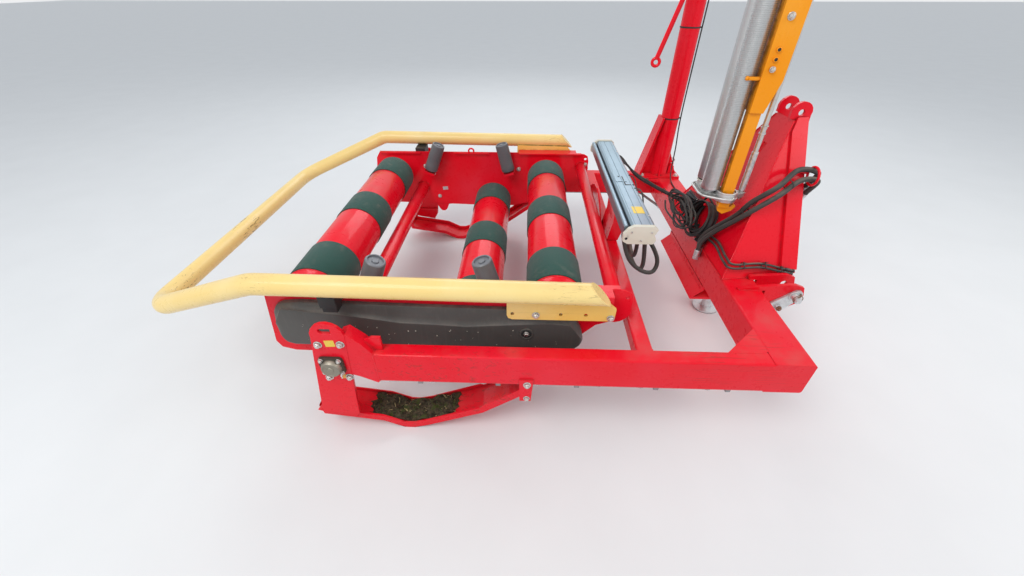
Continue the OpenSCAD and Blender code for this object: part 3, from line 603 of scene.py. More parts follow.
def arm(x, y, z):
    """A place on the film arm, given as it is drawn out along X from the slewing axis."""
    c, s = cos(PARK), sin(PARK)
    return Vector((SLEW[0] + x * c + y * s, -x * s + y * c, z))


def arm_way(x, y):
    """A direction on the film arm."""
    return arm(x, y, 0) - arm(0, 0, 0)


def on_rear(y, z, off=0.0):
    """A place on the outside of the rear sheet of the A-frame."""
    foot = Vector((REAR_FOOT.x, y, REAR_FOOT.z))
    return foot + REAR_LEAN * (z - REAR_FOOT.z) / REAR_LEAN.z + REAR_OUT * off


# Frame

def add_end_plates():
    b = Build()
    for side in SIDES:
        out = (0, side, 0)
        for x, z in ((-0.575, 0.51), (-0.496, 0.514), (-0.578, 0.345), (-0.502, 0.348)):
            bolt(b, (x, side * BEAM_OUT, z), out, 0.0125)
        bolt(b, (0.147, side * (BEAM_OUT + 0.008), 0.338), out, 0.012)
        bolt(b, (0.146, side * (BEAM_OUT + 0.008), 0.262), out, 0.01)
    piece("plate_bolts", "frame", b, 0.0004)
    b = Build()
    for x, z, size, look in (
            (-0.533, 0.516, (0.034, 0.029), yellow_label), (-0.524, 0.35, (0.018, 0.023), amber_label)):
        here = place((x, -BEAM_OUT, z), (0, -1, 0), (1, 0, 0.06))
        b.prism(rounded(*size, 0.002, 3), 0.0005, look, here)
    piece("blank_labels", "frame", b)


def add_bearings():
    b = Build()
    cap = [(0.038, 0.008), (0.038, 0.013), (0.036, 0.018), (0.033, 0.0262), (0.031, 0.028),
        (0.028, 0.028), (0.0262, 0.0264), (0.013, 0.0264), (0.0115, 0.029), (0.007, 0.0308), (0, 0.031)]
    for side in SIDES:
        out = (0, side, 0)
        here = place((PIVOT[0], side * BEAM_OUT, PIVOT[1]), out, (1, 0, 0))
        b.prism(rounded(0.086, 0.08, 0.014), 0.011, bearing_brown, shift(0, 0, 0.004) @ here)
        b.lathe([(0.0425, 0.01), (0.0415, 0.013), (0.038, 0.013)], bearing_brown, here, 48)
        b.lathe(cap, greasy_steel, here, 48)
        for u in (-1, 1):
            for v in (-1, 1):
                bolt(b, (PIVOT[0] + u * 0.0315, side * (BEAM_OUT + 0.011), PIVOT[1] + 0.004 + v * 0.0295),
                    out, 0.0082, washer=1.12)
        nipple = place(here @ Vector((0.03, 0.03 * side, 0.02)), (0.6, side, -0.6))
        b.lathe([(0, 0), (0.0045, 0), (0.0045, 0.004), (0.0025, 0.005), (0.0025, 0.009), (0.0033, 0.0105),
            (0.002, 0.013), (0, 0.0132)], bolt_zinc, nipple, 10)
    piece("flange_bearings", "frame", b, 0.0007, replaces=("pivot_bearings",))


def add_pipe_fittings():
    b = Build()
    for side in SIDES:
        for x in (-0.205, -0.013, 0.19, 0.406, 0.56, 0.8):
            b.lathe(ring(0.0083, 0.01, -0.009, 0.009), zinc, place((x, side * PIPE_Y, PIPE_Z), (1, 0, 0)),
                18)
            b.block((0.018, 0.012, 0.0022), zinc, place((x, side * 0.872, 0.3238), (0, 0, 1), (1, 0, 0)))
            screw(b, (x, side * 0.873, 0.3236), (0, 0, -1), 0.0055)
        start = place((-0.384, side * PIPE_Y, PIPE_Z), (1, 0, 0))
        b.lathe([(0, 0), (0.0125, 0), (0.0135, 0.002), (0.0135, 0.016), (0.0125, 0.018), (0.01, 0.018)],
            zinc, start, 6)
        b.lathe([(0, -0.026), (0.0095, -0.026), (0.0105, -0.024), (0.0105, -0.002), (0.0095, 0)], zinc,
            start, 20)
        b.lathe([(0.01, 0.018), (0.0112, 0.02), (0.0112, 0.04), (0.0088, 0.043)], zinc, start, 20)
    piece("pipe_fittings", "frame", b, 0.0003)


def add_soil():
    """Earth and moss that lies in the hollow of the near skid."""
    b = Build()
    line = ((-0.692, 0.124), (-0.684, 0.078), (-0.444, 0.041), (-0.362, 0.0), (-0.318, 0.0),
        (-0.264, 0.017), (-0.028, 0.113), (0.158, 0.25))
    across, lengthways = 22, 70
    x0, x1, y0, y1 = -0.52, -0.12, -0.842, -0.724
    rows = []
    for i in range(lengthways + 1):
        x = x0 + (x1 - x0) * i / lengthways
        floor_z = float(np.interp(x, [p[0] for p in line], [p[1] for p in line])) + 0.0086
        row = []
        for j in range(across + 1):
            y = y0 + (y1 - y0) * j / across
            u, v = i / lengthways, j / across
            dome = sin(pi * u) ** 0.6 * (0.35 + 0.65 * sin(pi * min(1, v * 0.9 + 0.1)) ** 0.5)
            lump = 0.01 * sin(x * 71 + y * 23) * sin(y * 64 + 1.3) + 0.004 * sin(x * 190) * cos(y * 170)
            edge = min(1.0, 9 * u, 9 * (1 - u))
            rag = 0.004 * sin(y * 210) + 0.003 * sin(y * 97 + 2)
            heap = (0.03 * dome + lump) * edge + (rag - 0.006) * (1 - edge) + random.uniform(0, 0.0022)
            row.append((x, y, floor_z + max(-0.005, heap)))
        rows.append(row)
    b.grid(rows, earth)
    for _ in range(230):
        x, y = random.uniform(x0 + 0.02, x1 - 0.02), random.uniform(y0 + 0.006, y1 - 0.006)
        i, j = int((x - x0) / (x1 - x0) * lengthways), int((y - y0) / (y1 - y0) * across)
        z = rows[i][j][2]
        lean = Vector([random.uniform(low, 1) for low in (-1, -1, 0.25)]).normalized()
        side = lean.orthogonal().normalized() * 0.0011
        tall = random.uniform(0.008, 0.026)
        foot = Vector((x, y, z - 0.001))
        middle = foot + lean * tall * 0.6
        tip = foot + lean * tall + Vector((0, 0, -0.15 * tall))
        b.add([foot - side, foot + side, middle + side * 0.8, tip, middle - side * 0.8],
            [(0, 1, 2, 3, 4)], random.choice((moss, moss, moss, straw)))
    piece("soil_on_skid", "frame", b, sharp=70)


def add_frame_welds():
    b = Build()
    for side in SIDES:
        y = side * 0.868
        bead(b, (-0.3946, side * 0.88, 0.33), (-0.3946, side * 0.88, 0.462), 0.003)
        bead(b, (-0.3946, side * 0.8235, 0.4665), (-0.3946, side * 0.878, 0.4665), 0.003)
        bead(b, (-0.655, y, 0.131), (-0.519, y, 0.131), 0.003)
        bead(b, (0.99, side * 0.8205, 0.332), (0.99, side * 0.8205, 0.464), 0.0035)
        bead(b, (0.99, side * 0.824, 0.4665), (0.99, side * 0.878, 0.4665), 0.0022)
        bead(b, (0.53, side * 0.8205, 0.463), (0.59, side * 0.8205, 0.463), 0.003)
        bead(b, (0.99, side * 0.386, 0.4672), (1.11, side * 0.3655, 0.4672), 0.0035)
        bead(b, (0.9875, side * 0.38, 0.467), (0.9875, side * 0.03, 0.467), 0.0035)
        for ear in (0.369, 0.446):
            for edge in (0, 0.015):
                bead(b, (1.034 if ear > 0.4 else 1.11, side * (ear + edge), 0.4668),
                    (1.128, side * (ear + edge), 0.4668), 0.003)
        foot, top = REAR_FOOT.copy(), REAR_TOP.copy()
        foot.y, top.y = side * foot.y, side * top.y
        bead(b, foot.lerp(top, 0.014), foot.lerp(top, 0.99), 0.0042)
    ring_bead(b, (MAST_X, MAST_Y, 0.4795), (0, 0, 1), 0.0545, 0.004)
    bead(b, (0.868, 0.745, 0.467), (1.128, 0.745, 0.467), 0.0035)
    bead(b, (0.868, 0.745, 0.467), (0.868, 0.878, 0.467), 0.0035)
    bead(b, (0.962, 0.767, 0.831), (0.962, 0.872, 0.831), 0.0035)
    for y in (0.756, 0.884):
        top_y = 0.768 if y < 0.8 else 0.872
        bead(b, (0.878, y, 0.48), (0.962, top_y, 0.83), 0.003)
    bead(b, (0.538, -0.066, 0.467), (0.538, 0.126, 0.467), 0.003)
    piece("frame_welds", "frame", b, sharp=80)


def add_mast_trim():
    b = Build()
    cable = smooth([(1.066, 0.8, 2.225), (1.068, 0.8, 1.9), (1.068, 0.801, 1.4), (1.067, 0.8, 0.86),
        (1.072, 0.776, 0.66), (1.066, 0.742, 0.52), (1.06, 0.68, 0.4735), (1.052, 0.52, 0.4725),
        (1.04, 0.34, 0.4725), (1.005, 0.24, 0.478), (1.0, 0.18, 0.505)], 9)
    b.pipe(cable, 0.0038, rubber, 9)
    for z in (0.829, 1.3, 1.75, 2.15):
        b.lathe(ring(0.0527, 0.0545, -0.0035, 0.0035), rubber, place((MAST_X, MAST_Y, z)), 40)
        b.block((0.01, 0.009, 0.007), rubber, place((1.0665, 0.806, z - 0.0035)))
    for x, y in ((0.892, 0.764), (0.892, 0.866), (1.108, 0.762), (1.108, 0.872)):
        bolt(b, (x, y, 0.478), (0, 0, 1), 0.0125)
    b.pipe([(x, MAST_Y, z) for x, z in circle(1.083, 0.562, 0.016, 24)], 0.0045, zinc, 8, closed=True)
    b.lathe([(0, 0), (0.0085, 0), (0.0085, 0.004), (0.006, 0.006), (0, 0.006)], zinc,
        place((1.083, MAST_Y, 0.5425)), 16)
    piece("mast_trim", "frame", b, 0.0004)


def add_slewing_trim():
    b = Build()
    for at in circle(*SLEW, 0.108, 8, pi / 8):
        bolt(b, (*at, 2.226), (0, 0, -1), 0.0105)
    for at in circle(*SLEW, 0.051, 4, pi / 4):
        bolt(b, (*at, 2.3802), (0, 0, 1), 0.0068, washer=0)
    for i, x in enumerate((-0.243, -0.205)):
        port = place((x, -0.08, 2.412), (0, -1, 0))
        down = 0.996 + 0.02 * i
        b.lathe([(0, 0), (0.0125, 0), (0.0125, 0.012), (0.0105, 0.014), (0.0105, 0.03), (0.0095, 0.032)],
            zinc, port, 6)
        b.pipe(smooth([(x, -0.108, 2.412), (x, -0.15, 2.41), (x + 0.045, -0.178, 2.398),
            (x + 0.13, -0.11, 2.372), (x + 0.24, 0.105 + 0.02 * i, 2.3665),
            (0.5, 0.47 + 0.022 * i, 2.366), (0.82, 0.72 + 0.016 * i, 2.3665),
            (0.872 - 0.01 * i, 0.806, 2.335),
            (0.9, 0.842, 2.24), (down - 0.041, 0.872, 2.12), (down, 0.8825, 1.95), (down, 0.8825, 1.2),
            (down, 0.8825, 0.6), (down + 0.002, 0.876, 0.52), (down + 0.002, 0.868, 0.482)], 8), 0.0085,
            hose_rubber, 10)
        b.lathe([(0, 0), (0.0098, 0), (0.0098, 0.01), (0.0092, 0.012), (0.0092, 0.024), (0.0086, 0.026)],
            zinc, place((down + 0.002, 0.868, 0.4782)), 6)
    piece("slewing_trim", "frame", b, 0.0004)


# Headstock, cables and hoses

COIL_TURNS = ((0.066, 0.0042, 0.01, 4), (0.08, 0.005, 0.026, 3), (0.072, 0.004, 0.042, 4),
    (0.086, 0.0045, 0.054, 2))
HOOK = (-0.015, 0.62)


def coil_path(radius, cable_r, off, turns, steps=26):
    """Loose turns that hang from the hook, each a little different."""
    made = []
    for i in range(turns * steps + 1):
        turn = 2 * pi * i / steps
        wave = 0.06 * sin(turn * 0.37 + radius * 90) + 0.03 * sin(turn * 1.7)
        size = radius * (1 + wave * (1 - cos(turn)) / 2)
        drop = radius - 0.006 - cable_r
        along = size * cos(turn) - drop
        sideways = size * 1.18 * sin(turn)
        lift = off + 0.009 * i / (turns * steps) * turns / 3 + 0.003 * sin(turn * 0.5 + off * 200)
        made.append(on_rear(HOOK[0] + sideways, HOOK[1], max(lift, cable_r + 0.001)) + REAR_LEAN * along)
    return made


def add_cables():
    b = Build()
    for radius, cable_r, off, turns in COIL_TURNS:
        b.pipe(coil_path(radius, cable_r, off, turns), cable_r, rubber, 9)
    for i in range(2):
        y, z = -0.06, 0.522 - 0.014 * i
        run = [(1.0 - 0.004 * i, y, z), (1.014 - 0.008 * i, -0.2, 0.548 - 0.018 * i),
            (1.002 - 0.008 * i, -0.336, 0.548 - 0.018 * i),
            (1.022 - 0.006 * i, -0.378 - 0.006 * i, 0.54 - 0.016 * i),
            (1.15, -0.349 - 0.008 * i, 0.528 - 0.014 * i),
            (1.262 - 0.006 * i, -0.356 - 0.005 * i, 0.506 - 0.012 * i)]
        b.pipe(smooth(run, 12), 0.005, hose_rubber, 10)
        end, before = Vector(run[-1]), Vector(run[-2])
        b.lathe([(0, -0.004), (0.0068, -0.004), (0.0078, 0), (0.0078, 0.016), (0.0062, 0.019),
            (0.0062, 0.028), (0.0085, 0.03), (0.0085, 0.036), (0, 0.036)], box_black,
            place(end, end - before), 16)
    for x, y, z in ((1.062, -0.372, 0.53), (1.165, -0.352, 0.52), (1.236, -0.357, 0.503)):
        tie(b, (x, y, z), (1.0, 0.1, -0.12), 0.0135)
    top = coil_path(*COIL_TURNS[1])[0]
    b.pipe(smooth([on_rear(0.095, 0.585, 0.03), on_rear(0.075, 0.598, 0.036), on_rear(0.045, 0.64, 0.038),
        on_rear(0.01, 0.64, 0.034), top], 8), 0.005, rubber, 9)
    for y, drop, off in ((-0.115, 0.52, 0.012), (-0.07, 0.505, 0.014)):
        path = smooth([on_rear(-0.055, 0.56, off + 0.01), on_rear(y - 0.01, 0.56, off + 0.004),
            on_rear(y, drop + 0.012, off)], 8)
        b.pipe(path, 0.0042, rubber, 9)
        b.lathe([(0, 0), (0.0055, 0), (0.0065, 0.008), (0.013, 0.012), (0.013, 0.04), (0.015, 0.042),
            (0.015, 0.05), (0.011, 0.052), (0, 0.052)], box_black,
            place(on_rear(y, drop + 0.012, off), -REAR_LEAN), 20)
    for i in range(9):
        wide, tall = 0.1 + 0.013 * (i * 5 % 7), 0.034 + 0.006 * (i * 3 % 5)
        y0, z0 = 0.06 + 0.024 * (i * 4 % 6), 0.515 + 0.006 * (i * 2 % 5)
        lift = 0.069 + 0.0042 * i
        turns = [2 * pi * k / 14 for k in range(14 + 5 * (i % 2))]
        loop = [on_rear(y0 + wide * (1 + 0.08 * sin(2 * t + i)) * cos(t),
            z0 + tall * (1 + 0.15 * sin(3 * t + 2 * i)) * sin(t), lift + 0.006 * sin(t + i))
            for t in turns]
        b.pipe(smooth(loop, 5), 0.003 + 0.0008 * (i % 3), rubber, 8)
    for i in range(6):
        u, v = 0.0068 * cos(i * 1.047), 0.0068 * sin(i * 1.047)
        y = 0.33 + 0.02 * i
        run = smooth([(0.62, y, 0.722), (0.66, y - 0.01, 0.716), (0.74, 0.365 + 2 * u, 0.64 + v),
            (0.85, 0.33 + u, 0.585 + v), (0.93, 0.29 + u, 0.556 + v),
            (0.985, 0.235 + 2 * u, 0.545 + 2 * v), on_rear(0.176 + u, 0.508, 0.036 + 2 * v),
            on_rear(0.12 + 0.014 * i, 0.512, 0.026 + v)], 8)
        b.pipe(run, 0.0042, rubber, 9)
        b.lathe([(0, 0), (0.0075, 0), (0.0075, 0.006), (0.006, 0.008), (0.006, 0.014), (0.0044, 0.018)],
            box_black, place((0.6205, y, 0.722), (1, 0, -0.1)), 10)
    for at, along in (
            ((0.795, 0.347, 0.6115), (0.11, -0.035, -0.055)), ((0.89, 0.31, 0.5695), (0.08, -0.04, -0.03))):
        tie(b, at, along, 0.0118)
    piece("cables", "frame", b, replaces=("cable_coils",))


HOSE_ROUTES = (
    ((0.9788, -0.125, 0.44), (0.977, -0.13, 0.54), (1.052, -0.2, 0.68), (1.084, -0.226, 0.756),
        (1.146, -0.258, 0.838), (1.236, -0.204, 0.89), (1.328, -0.19, 0.872), (1.328, -0.15, 0.8)),
    ((0.962, -0.15, 0.44), (0.97, -0.16, 0.54), (1.046, -0.236, 0.68), (1.094, -0.266, 0.75),
        (1.16, -0.266, 0.806), (1.25, -0.2235, 0.854), (1.324, -0.2135, 0.848), (1.324, -0.176, 0.78)))


def bent(points, radius, steps=7):
    """The same line with its corners rounded to a bend radius."""
    p = [Vector(q) for q in points]
    made = [p[0]]
    for before, here, after in zip(p, p[1:], p[2:]):
        d, e = (here - before).normalized(), (after - here).normalized()
        turn = d.angle(e)
        side = (e - d * cos(turn)).normalized()
        start = here - d * radius * tan(turn / 2)
        for i in range(steps + 1):
            a = turn * i / steps
            made.append(start + radius * (d * sin(a) + side * (1 - cos(a))))
    return made + [p[-1]]


def add_hoses():
    b = Build()
    coupling = [(0, 0), (0.0125, 0), (0.0132, 0.003), (0.0122, 0.006), (0.0132, 0.009), (0.0122, 0.012),
        (0.0132, 0.015), (0.0125, 0.028)]
    nose = [(0.01, 0.044), (0.01, 0.058), (0.012, 0.06), (0.012, 0.067), (0.009, 0.0715), (0, 0.0715)]
    for route in HOSE_ROUTES:
        path = smooth(route, 9)
        b.pipe(path, 0.011, hose_rubber, 18)
        end = Vector(route[-1])
        here = place(end, end - Vector(route[-2]))
        b.lathe(coupling, zinc, here, 24)
        b.lathe([(0.0125, 0.028), (0.014, 0.03), (0.014, 0.044), (0.0125, 0.046), (0.01, 0.046)], zinc,
            here, 6)
        b.lathe(nose, zinc, here, 24)
        foot = place(route[0])
        b.lathe([(0.0115, -0.002), (0.0135, 0), (0.0135, 0.03), (0.0115, 0.032)], zinc, foot, 24)
        b.lathe([(0, -0.018), (0.015, -0.018), (0.015, -0.002), (0.0115, -0.002)], zinc, foot, 6)
    tie(b, (1.072, -0.232, 0.716), (0.25, -0.3, 0.9), 0.0235)
    tie(b, (1.196, -0.236, 0.842), (0.85, 0.45, 0.35), 0.0245)
    piece("hoses_to_tractor", "frame", b, 0.0003, replaces=("hoses",))


def add_control_box():
    b = Build()
    here = place(on_rear(0.15, 0.56), REAR_OUT, REAR_LEAN)

    def at(x, y, z=0.0):
        return here @ Vector((x, y, z))

    for size, depth, lift in (
            ((0.092, 0.12, 0.008), 0.046, 0.0003), ((0.096, 0.124, 0.009), 0.007, 0.045),
            ((0.076, 0.104, 0.012), 0.0115, 0.0515)):
        b.prism(rounded(*size), depth, box_black, here @ shift(0, 0, lift))
    for u in (-1, 1):
        for v in (-1, 1):
            screw(b, at(u * 0.0425, v * 0.0565, 0.052), REAR_OUT, 0.0036)
    gland = [(0, -0.001), (0.0105, -0.001), (0.0105, 0.005), (0.0085, 0.006), (0.0085, 0.014),
        (0.006, 0.017), (0, 0.017)]
    for v in (-0.036, -0.01, 0.016):
        b.lathe(gland, box_black, place(at(-0.046, v, 0.026), -REAR_LEAN), 12)
        b.pipe(smooth([at(-0.06, v, 0.026), at(-0.085, v - 0.004, 0.026), at(-0.094, v - 0.04, 0.014),
            at(-0.08, v - 0.11, 0.008), at(-0.04, -0.145, 0.01)], 8), 0.0036, rubber, 9)
    b.lathe(gland, box_black, place(at(0.01, -0.06, 0.026), (0, -1, 0)), 12)
    piece("control_box_detail", "frame", b, 0.0008, replaces=("control_box",))


def add_linkage_trim():
    b = Build()
    for side in SIDES:
        out = (0, side, 0)
        x, z = LINK_PIN
        here = place((x, side * 0.471, z), out)
        b.lathe([(0.0142, 0), (0.0215, 0), (0.0215, 0.0025), (0.02, 0.0035), (0.0142, 0.0035)], zinc,
            here, 32)
        hole = place((x, side * 0.5, 0.4632))
        b.lathe([(0, -0.03), (0.004, -0.03), (0.004, 0.0015), (0.0034, 0.0022), (0, 0.0022)], rusty, hole,
            14)
        clip = [(x + 0.019 * cos(a), side * 0.5, 0.4535 + 0.019 * sin(a))
            for a in np.linspace(radians(60), radians(420), 26)]
        b.pipe(clip, 0.0018, rusty, 7)
        bolt(b, (1.218, side * 0.479, 0.388), out, 0.0125, rusty, washer=0)
        bolt(b, (1.285, side * 0.471, 0.452), out, 0.007, rusty, washer=1.3, tail=False)
    piece("linkage_trim", "frame", b, 0.0004)


# Cutter

def add_cutter_trim():
    b = Build()
    for y in (-1, 1):
        face = -0.494 if y < 0 else 0.542
        for x, z in ((0.53, 0.752), (0.604, 0.752), (0.57, 0.716)):
            screw(b, (x, face, z), (0, y, 0), 0.0042)
        b.lathe([(0, 0), (0.0052, 0), (0.0052, 0.0006), (0, 0.0006)], rubber,
            place((0.512, face, 0.724), (0, y, 0)), 16)
    piece("cutter_screws", "frame", b, 0.0002)
    b = Build()
    b.block((0.046, 0.06, 0.0005), yellow_label, place((0.58, -0.345, 0.7711)))
    piece("cutter_label", "frame", b)
    b = Build()
    for x, width in ((0.545, 0.003), (0.5685, 0.0015), (0.603, 0.004)):
        b.block((width, 0.992, 0.0022), alloy_profile, place((x, 0.024, 0.7707)))
    for z in (0.716, 0.734, 0.752):
        b.block((0.004, 0.992, 0.0025), alloy_profile, place((0.6222, 0.024, z), (1, 0, 0), (0, 0, 1)))
    for cx, cy, w, l in ((0.5765, -0.047, 0.0045, 0.1), (0.593, -0.0945, 0.037, 0.0045),
            (0.56, 0.001, 0.006, 0.011), (0.612, -0.0945, 0.005, 0.012), (0.605, -0.132, 0.012, 0.005)):
        b.block((w, l, 0.0012), rubber, place((cx, cy, 0.7712)))
    for y in (-0.395, -0.205, 0.155, 0.345, 0.47):
        screw(b, (0.6115, y, 0.7711), (0, 0, 1), 0.0042)
    piece("cutter_profile_lines", "frame", b, 0.0003)
    b = Build()
    for i, (y0, y1, dip) in enumerate(((0.02, -0.17, 0.03), (-0.13, -0.33, 0.055),
            (-0.15, -0.345, 0.075))):
        b.pipe(smooth([(0.612, y0, 0.772), (0.636, y0 - 0.03, 0.764), (0.645, (y0 + y1) / 2, 0.735 - dip),
            (0.64 + 0.006 * i, y1 + 0.02, 0.7 - dip), (0.655, y1 + 0.05, 0.64 - dip)], 8), 0.0022,
            hose_rubber if i else rubber, 8)
    for at in ((0.614, -0.3), (0.614, -0.39), (0.614, 0.16), (0.614, 0.19), (0.546, -0.335),
            (0.59, -0.285)):
        b.lathe([(0, -0.003), (0.0135, -0.003), (0.0135, 0.01), (0.0115, 0.012), (0.0115, 0.032),
            (0.0095, 0.034)], zinc, place((*at, 0.6985), (0, 0, -1)), 6)
    piece("cutter_wires", "frame", b, 0.0003)
    b = Build()
    for path in (
            ((0.614, 0.16, 0.699), (0.645, 0.11, 0.6), (0.65, 0.0, 0.5), (0.648, -0.15, 0.45),
                (0.632, -0.26, 0.52), (0.614, -0.3, 0.699)),
            ((0.614, 0.19, 0.699), (0.655, 0.13, 0.56), (0.656, -0.04, 0.43), (0.66, -0.2, 0.41),
                (0.65, -0.34, 0.5), (0.614, -0.39, 0.699)),
            ((0.546, -0.335, 0.699), (0.541, -0.35, 0.65), (0.572, -0.374, 0.56), (0.63, -0.384, 0.506),
                (0.684, -0.38, 0.496), (0.699, -0.366, 0.545), (0.664, -0.345, 0.615),
                (0.61, -0.3, 0.668), (0.59, -0.285, 0.699))):
        b.pipe(smooth(path, 9), 0.009, hose_rubber, 16)
    for side in SIDES:
        b.pipe(bent([(-0.372, side * PIPE_Y, PIPE_Z), (0.93, side * PIPE_Y, PIPE_Z),
            (0.95, side * 0.8, 0.314), (1.01, side * 0.64, 0.314)], 0.03, 6), 0.008, pipe_grey, 14)
        for x in (-0.25, 0.04, 0.33, 0.62, 0.88):
            b.block((0.018, 0.024, 0.0198), pipe_grey, place((x, side * PIPE_Y, 0.306)))
        b.lathe([(0, -0.002), (0.0125, -0.002), (0.0125, 0.014), (0.0085, 0.017), (0, 0.017)], zinc,
            place((1.008, side * 0.644, 0.314), (0.35, -side, 0)), 6)
    piece("pipes_and_cutter_hoses", "frame", b, 0.0004, replaces=("beam_pipe",))
    b = Build()
    for i in range(4):
        bolt(b, (0.5215, 0.128 + 0.118 * i, 0.4435), (-1, 0, 0), 0.009)
    piece("chain_plate_bolts", "frame", b, 0.0004)


# Table

COVER_TOP = ((-0.812, 0.47), (-0.806, 0.52), (-0.79, 0.546), (-0.763, 0.56), (-0.695, 0.5665),
    (-0.64, 0.565), (-0.317, 0.557), (0.069, 0.551), (0.228, 0.536), (0.3, 0.52), (0.328, 0.497),
    (0.346, 0.46), (0.355, 0.425))
COVER_FOOT = ((-0.812, 0.455), (-0.806, 0.398), (-0.79, 0.371), (-0.763, 0.361), (0.29, 0.361),
    (0.325, 0.372), (0.346, 0.392), (0.355, 0.418))
COVER_RIDGE = ((-0.812, 0.462), (-0.763, 0.548), (-0.497, 0.519), (-0.328, 0.492), (-0.217, 0.488),
    (-0.08, 0.48), (0.228, 0.508), (0.3, 0.5), (0.355, 0.422))
COVER_BACK, COVER_DEPTH, COVER_EDGE, COVER_CROWN = 0.7042, 0.0408, 0.018, 0.004


def along_line(line, x):
    return float(np.interp(x, [p[0] for p in line], [p[1] for p in line]))


def add_side_cover():
    b = Build()
    rows = []
    x0, x1 = COVER_TOP[0][0], COVER_TOP[-1][0]
    stops = [x0 + (x1 - x0) * i / 200 for i in range(201)]
    stops += [x0 + 0.0006, x0 + 0.002, x1 - 0.002, x1 - 0.0006]
    for x in sorted(stops):
        top, foot, ridge = (along_line(line, x) for line in (COVER_TOP, COVER_FOOT, COVER_RIDGE))
        ridge = min(ridge, top - 0.004)
        inward = min(1.0, min(x - x0, x1 - x) / COVER_EDGE)
        depth = COVER_DEPTH * (0.5 + 0.5 * sqrt(max(0.0, 1 - (1 - inward) ** 2)))
        edge = min(COVER_EDGE, (ridge - foot) * 0.45, depth * 0.9)
        column = [(foot, 0.0), (foot, depth - edge)]
        for k in range(1, 9):
            turn = radians(90 * k / 8)
            column.append((foot + edge * (1 - cos(turn)), depth - edge + edge * sin(turn)))
        for k in range(1, 25):
            share = k / 24
            dish = 0.0016 * sin(pi * share) * sin(x * 9.0)
            column.append((foot + edge + (ridge - foot - edge) * share, depth - abs(dish)))
        for k in range(1, 5):
            share = k / 4
            column.append((ridge + (top - ridge) * 0.08 * share, depth - COVER_CROWN * share * share))
        slope = depth - COVER_CROWN - 0.0175
        column += [(ridge + (top - ridge) * s, depth - COVER_CROWN - slope * s)
            for s in (0.35, 0.65, 0.93)]
        column += [(top - 0.0006, 0.0165), (top, 0.0135), (top, 0.0)]
        rows.append([(x, -COVER_BACK - off, z) for z, off in column])
    b.grid(rows, cover_grey)
    for row in (rows[0], rows[-1]):
        b.add(row, [list(range(len(row)))], cover_grey)
    front = -COVER_BACK - COVER_DEPTH
    here = place((0.141, front + 0.0004, 0.454), (0, -1, 0))
    b.lathe([(0.027, -0.001), (0.0262, 0.0022), (0.0235, 0.0032), (0.0205, 0.0026), (0.0195, -0.001)],
        cover_grey, here, 32)
    b.lathe([(0, 0.0003), (0.02, 0.0003)], rubber, here, 24)
    bolt(b, here @ Vector((0, 0, 0.0003)), (0, -1, 0), 0.009, tail=False)
    for _ in range(34):
        x, z = random.uniform(-0.74, 0.29), random.uniform(0.385, 0.475)
        size = random.uniform(0.0008, 0.0026)
        b.lathe([(size, 0), (size * 0.75, 0.0005), (0, 0.0007)], casting,
            place((x, front + 0.0006, z), (0, -1, 0)), 9)
    piece("ribbed_side_cover", "table", b, sharp=50, replaces=("side_cover",))


def add_guides():
    profile = [(0, 0), (0.037, 0), (0.0398, 0.0015), (0.041, 0.005), (0.0404, 0.035), (0.0398, 0.0365),
        (0.0396, 0.08), (0.0383, 0.159), (0.037, 0.164)]
    cap = [(0.037, 0.164), (0.0335, 0.1678), (0.03, 0.168), (0.0286, 0.1668), (0.0284, 0.1612),
        (0.013, 0.1612), (0.0126, 0.165), (0.011, 0.1665), (0, 0.1665)]
    for row, x, out in GUIDES:
        for side, word in ((-1, "near"), (1, "far")):
            b = Build()
            here = place((x, side * GUIDE_Y, GUIDE_Z), out)
            b.lathe(profile, guide_grey, here, 56)
            b.lathe(cap, guide_cap, here, 56)
            b.lathe([(0, -0.024), (0.01, -0.024), (0.01, 0.0005)], bolt_zinc, here, 24)
            bolt(b, here @ Vector((0, 0, 0.1612)), out, 0.0062, washer=0, tail=False)
            piece(f"{word}_{row}_guide_roller", f"{word}_{row}_guide", b, sharp=30,
                replaces=(f"guide_{word}_{row}",))


# the slant at the loop's ends, as its high and its low point
LOOP_CUT = ((0.345, 0.7239), (0.417, 0.6477))


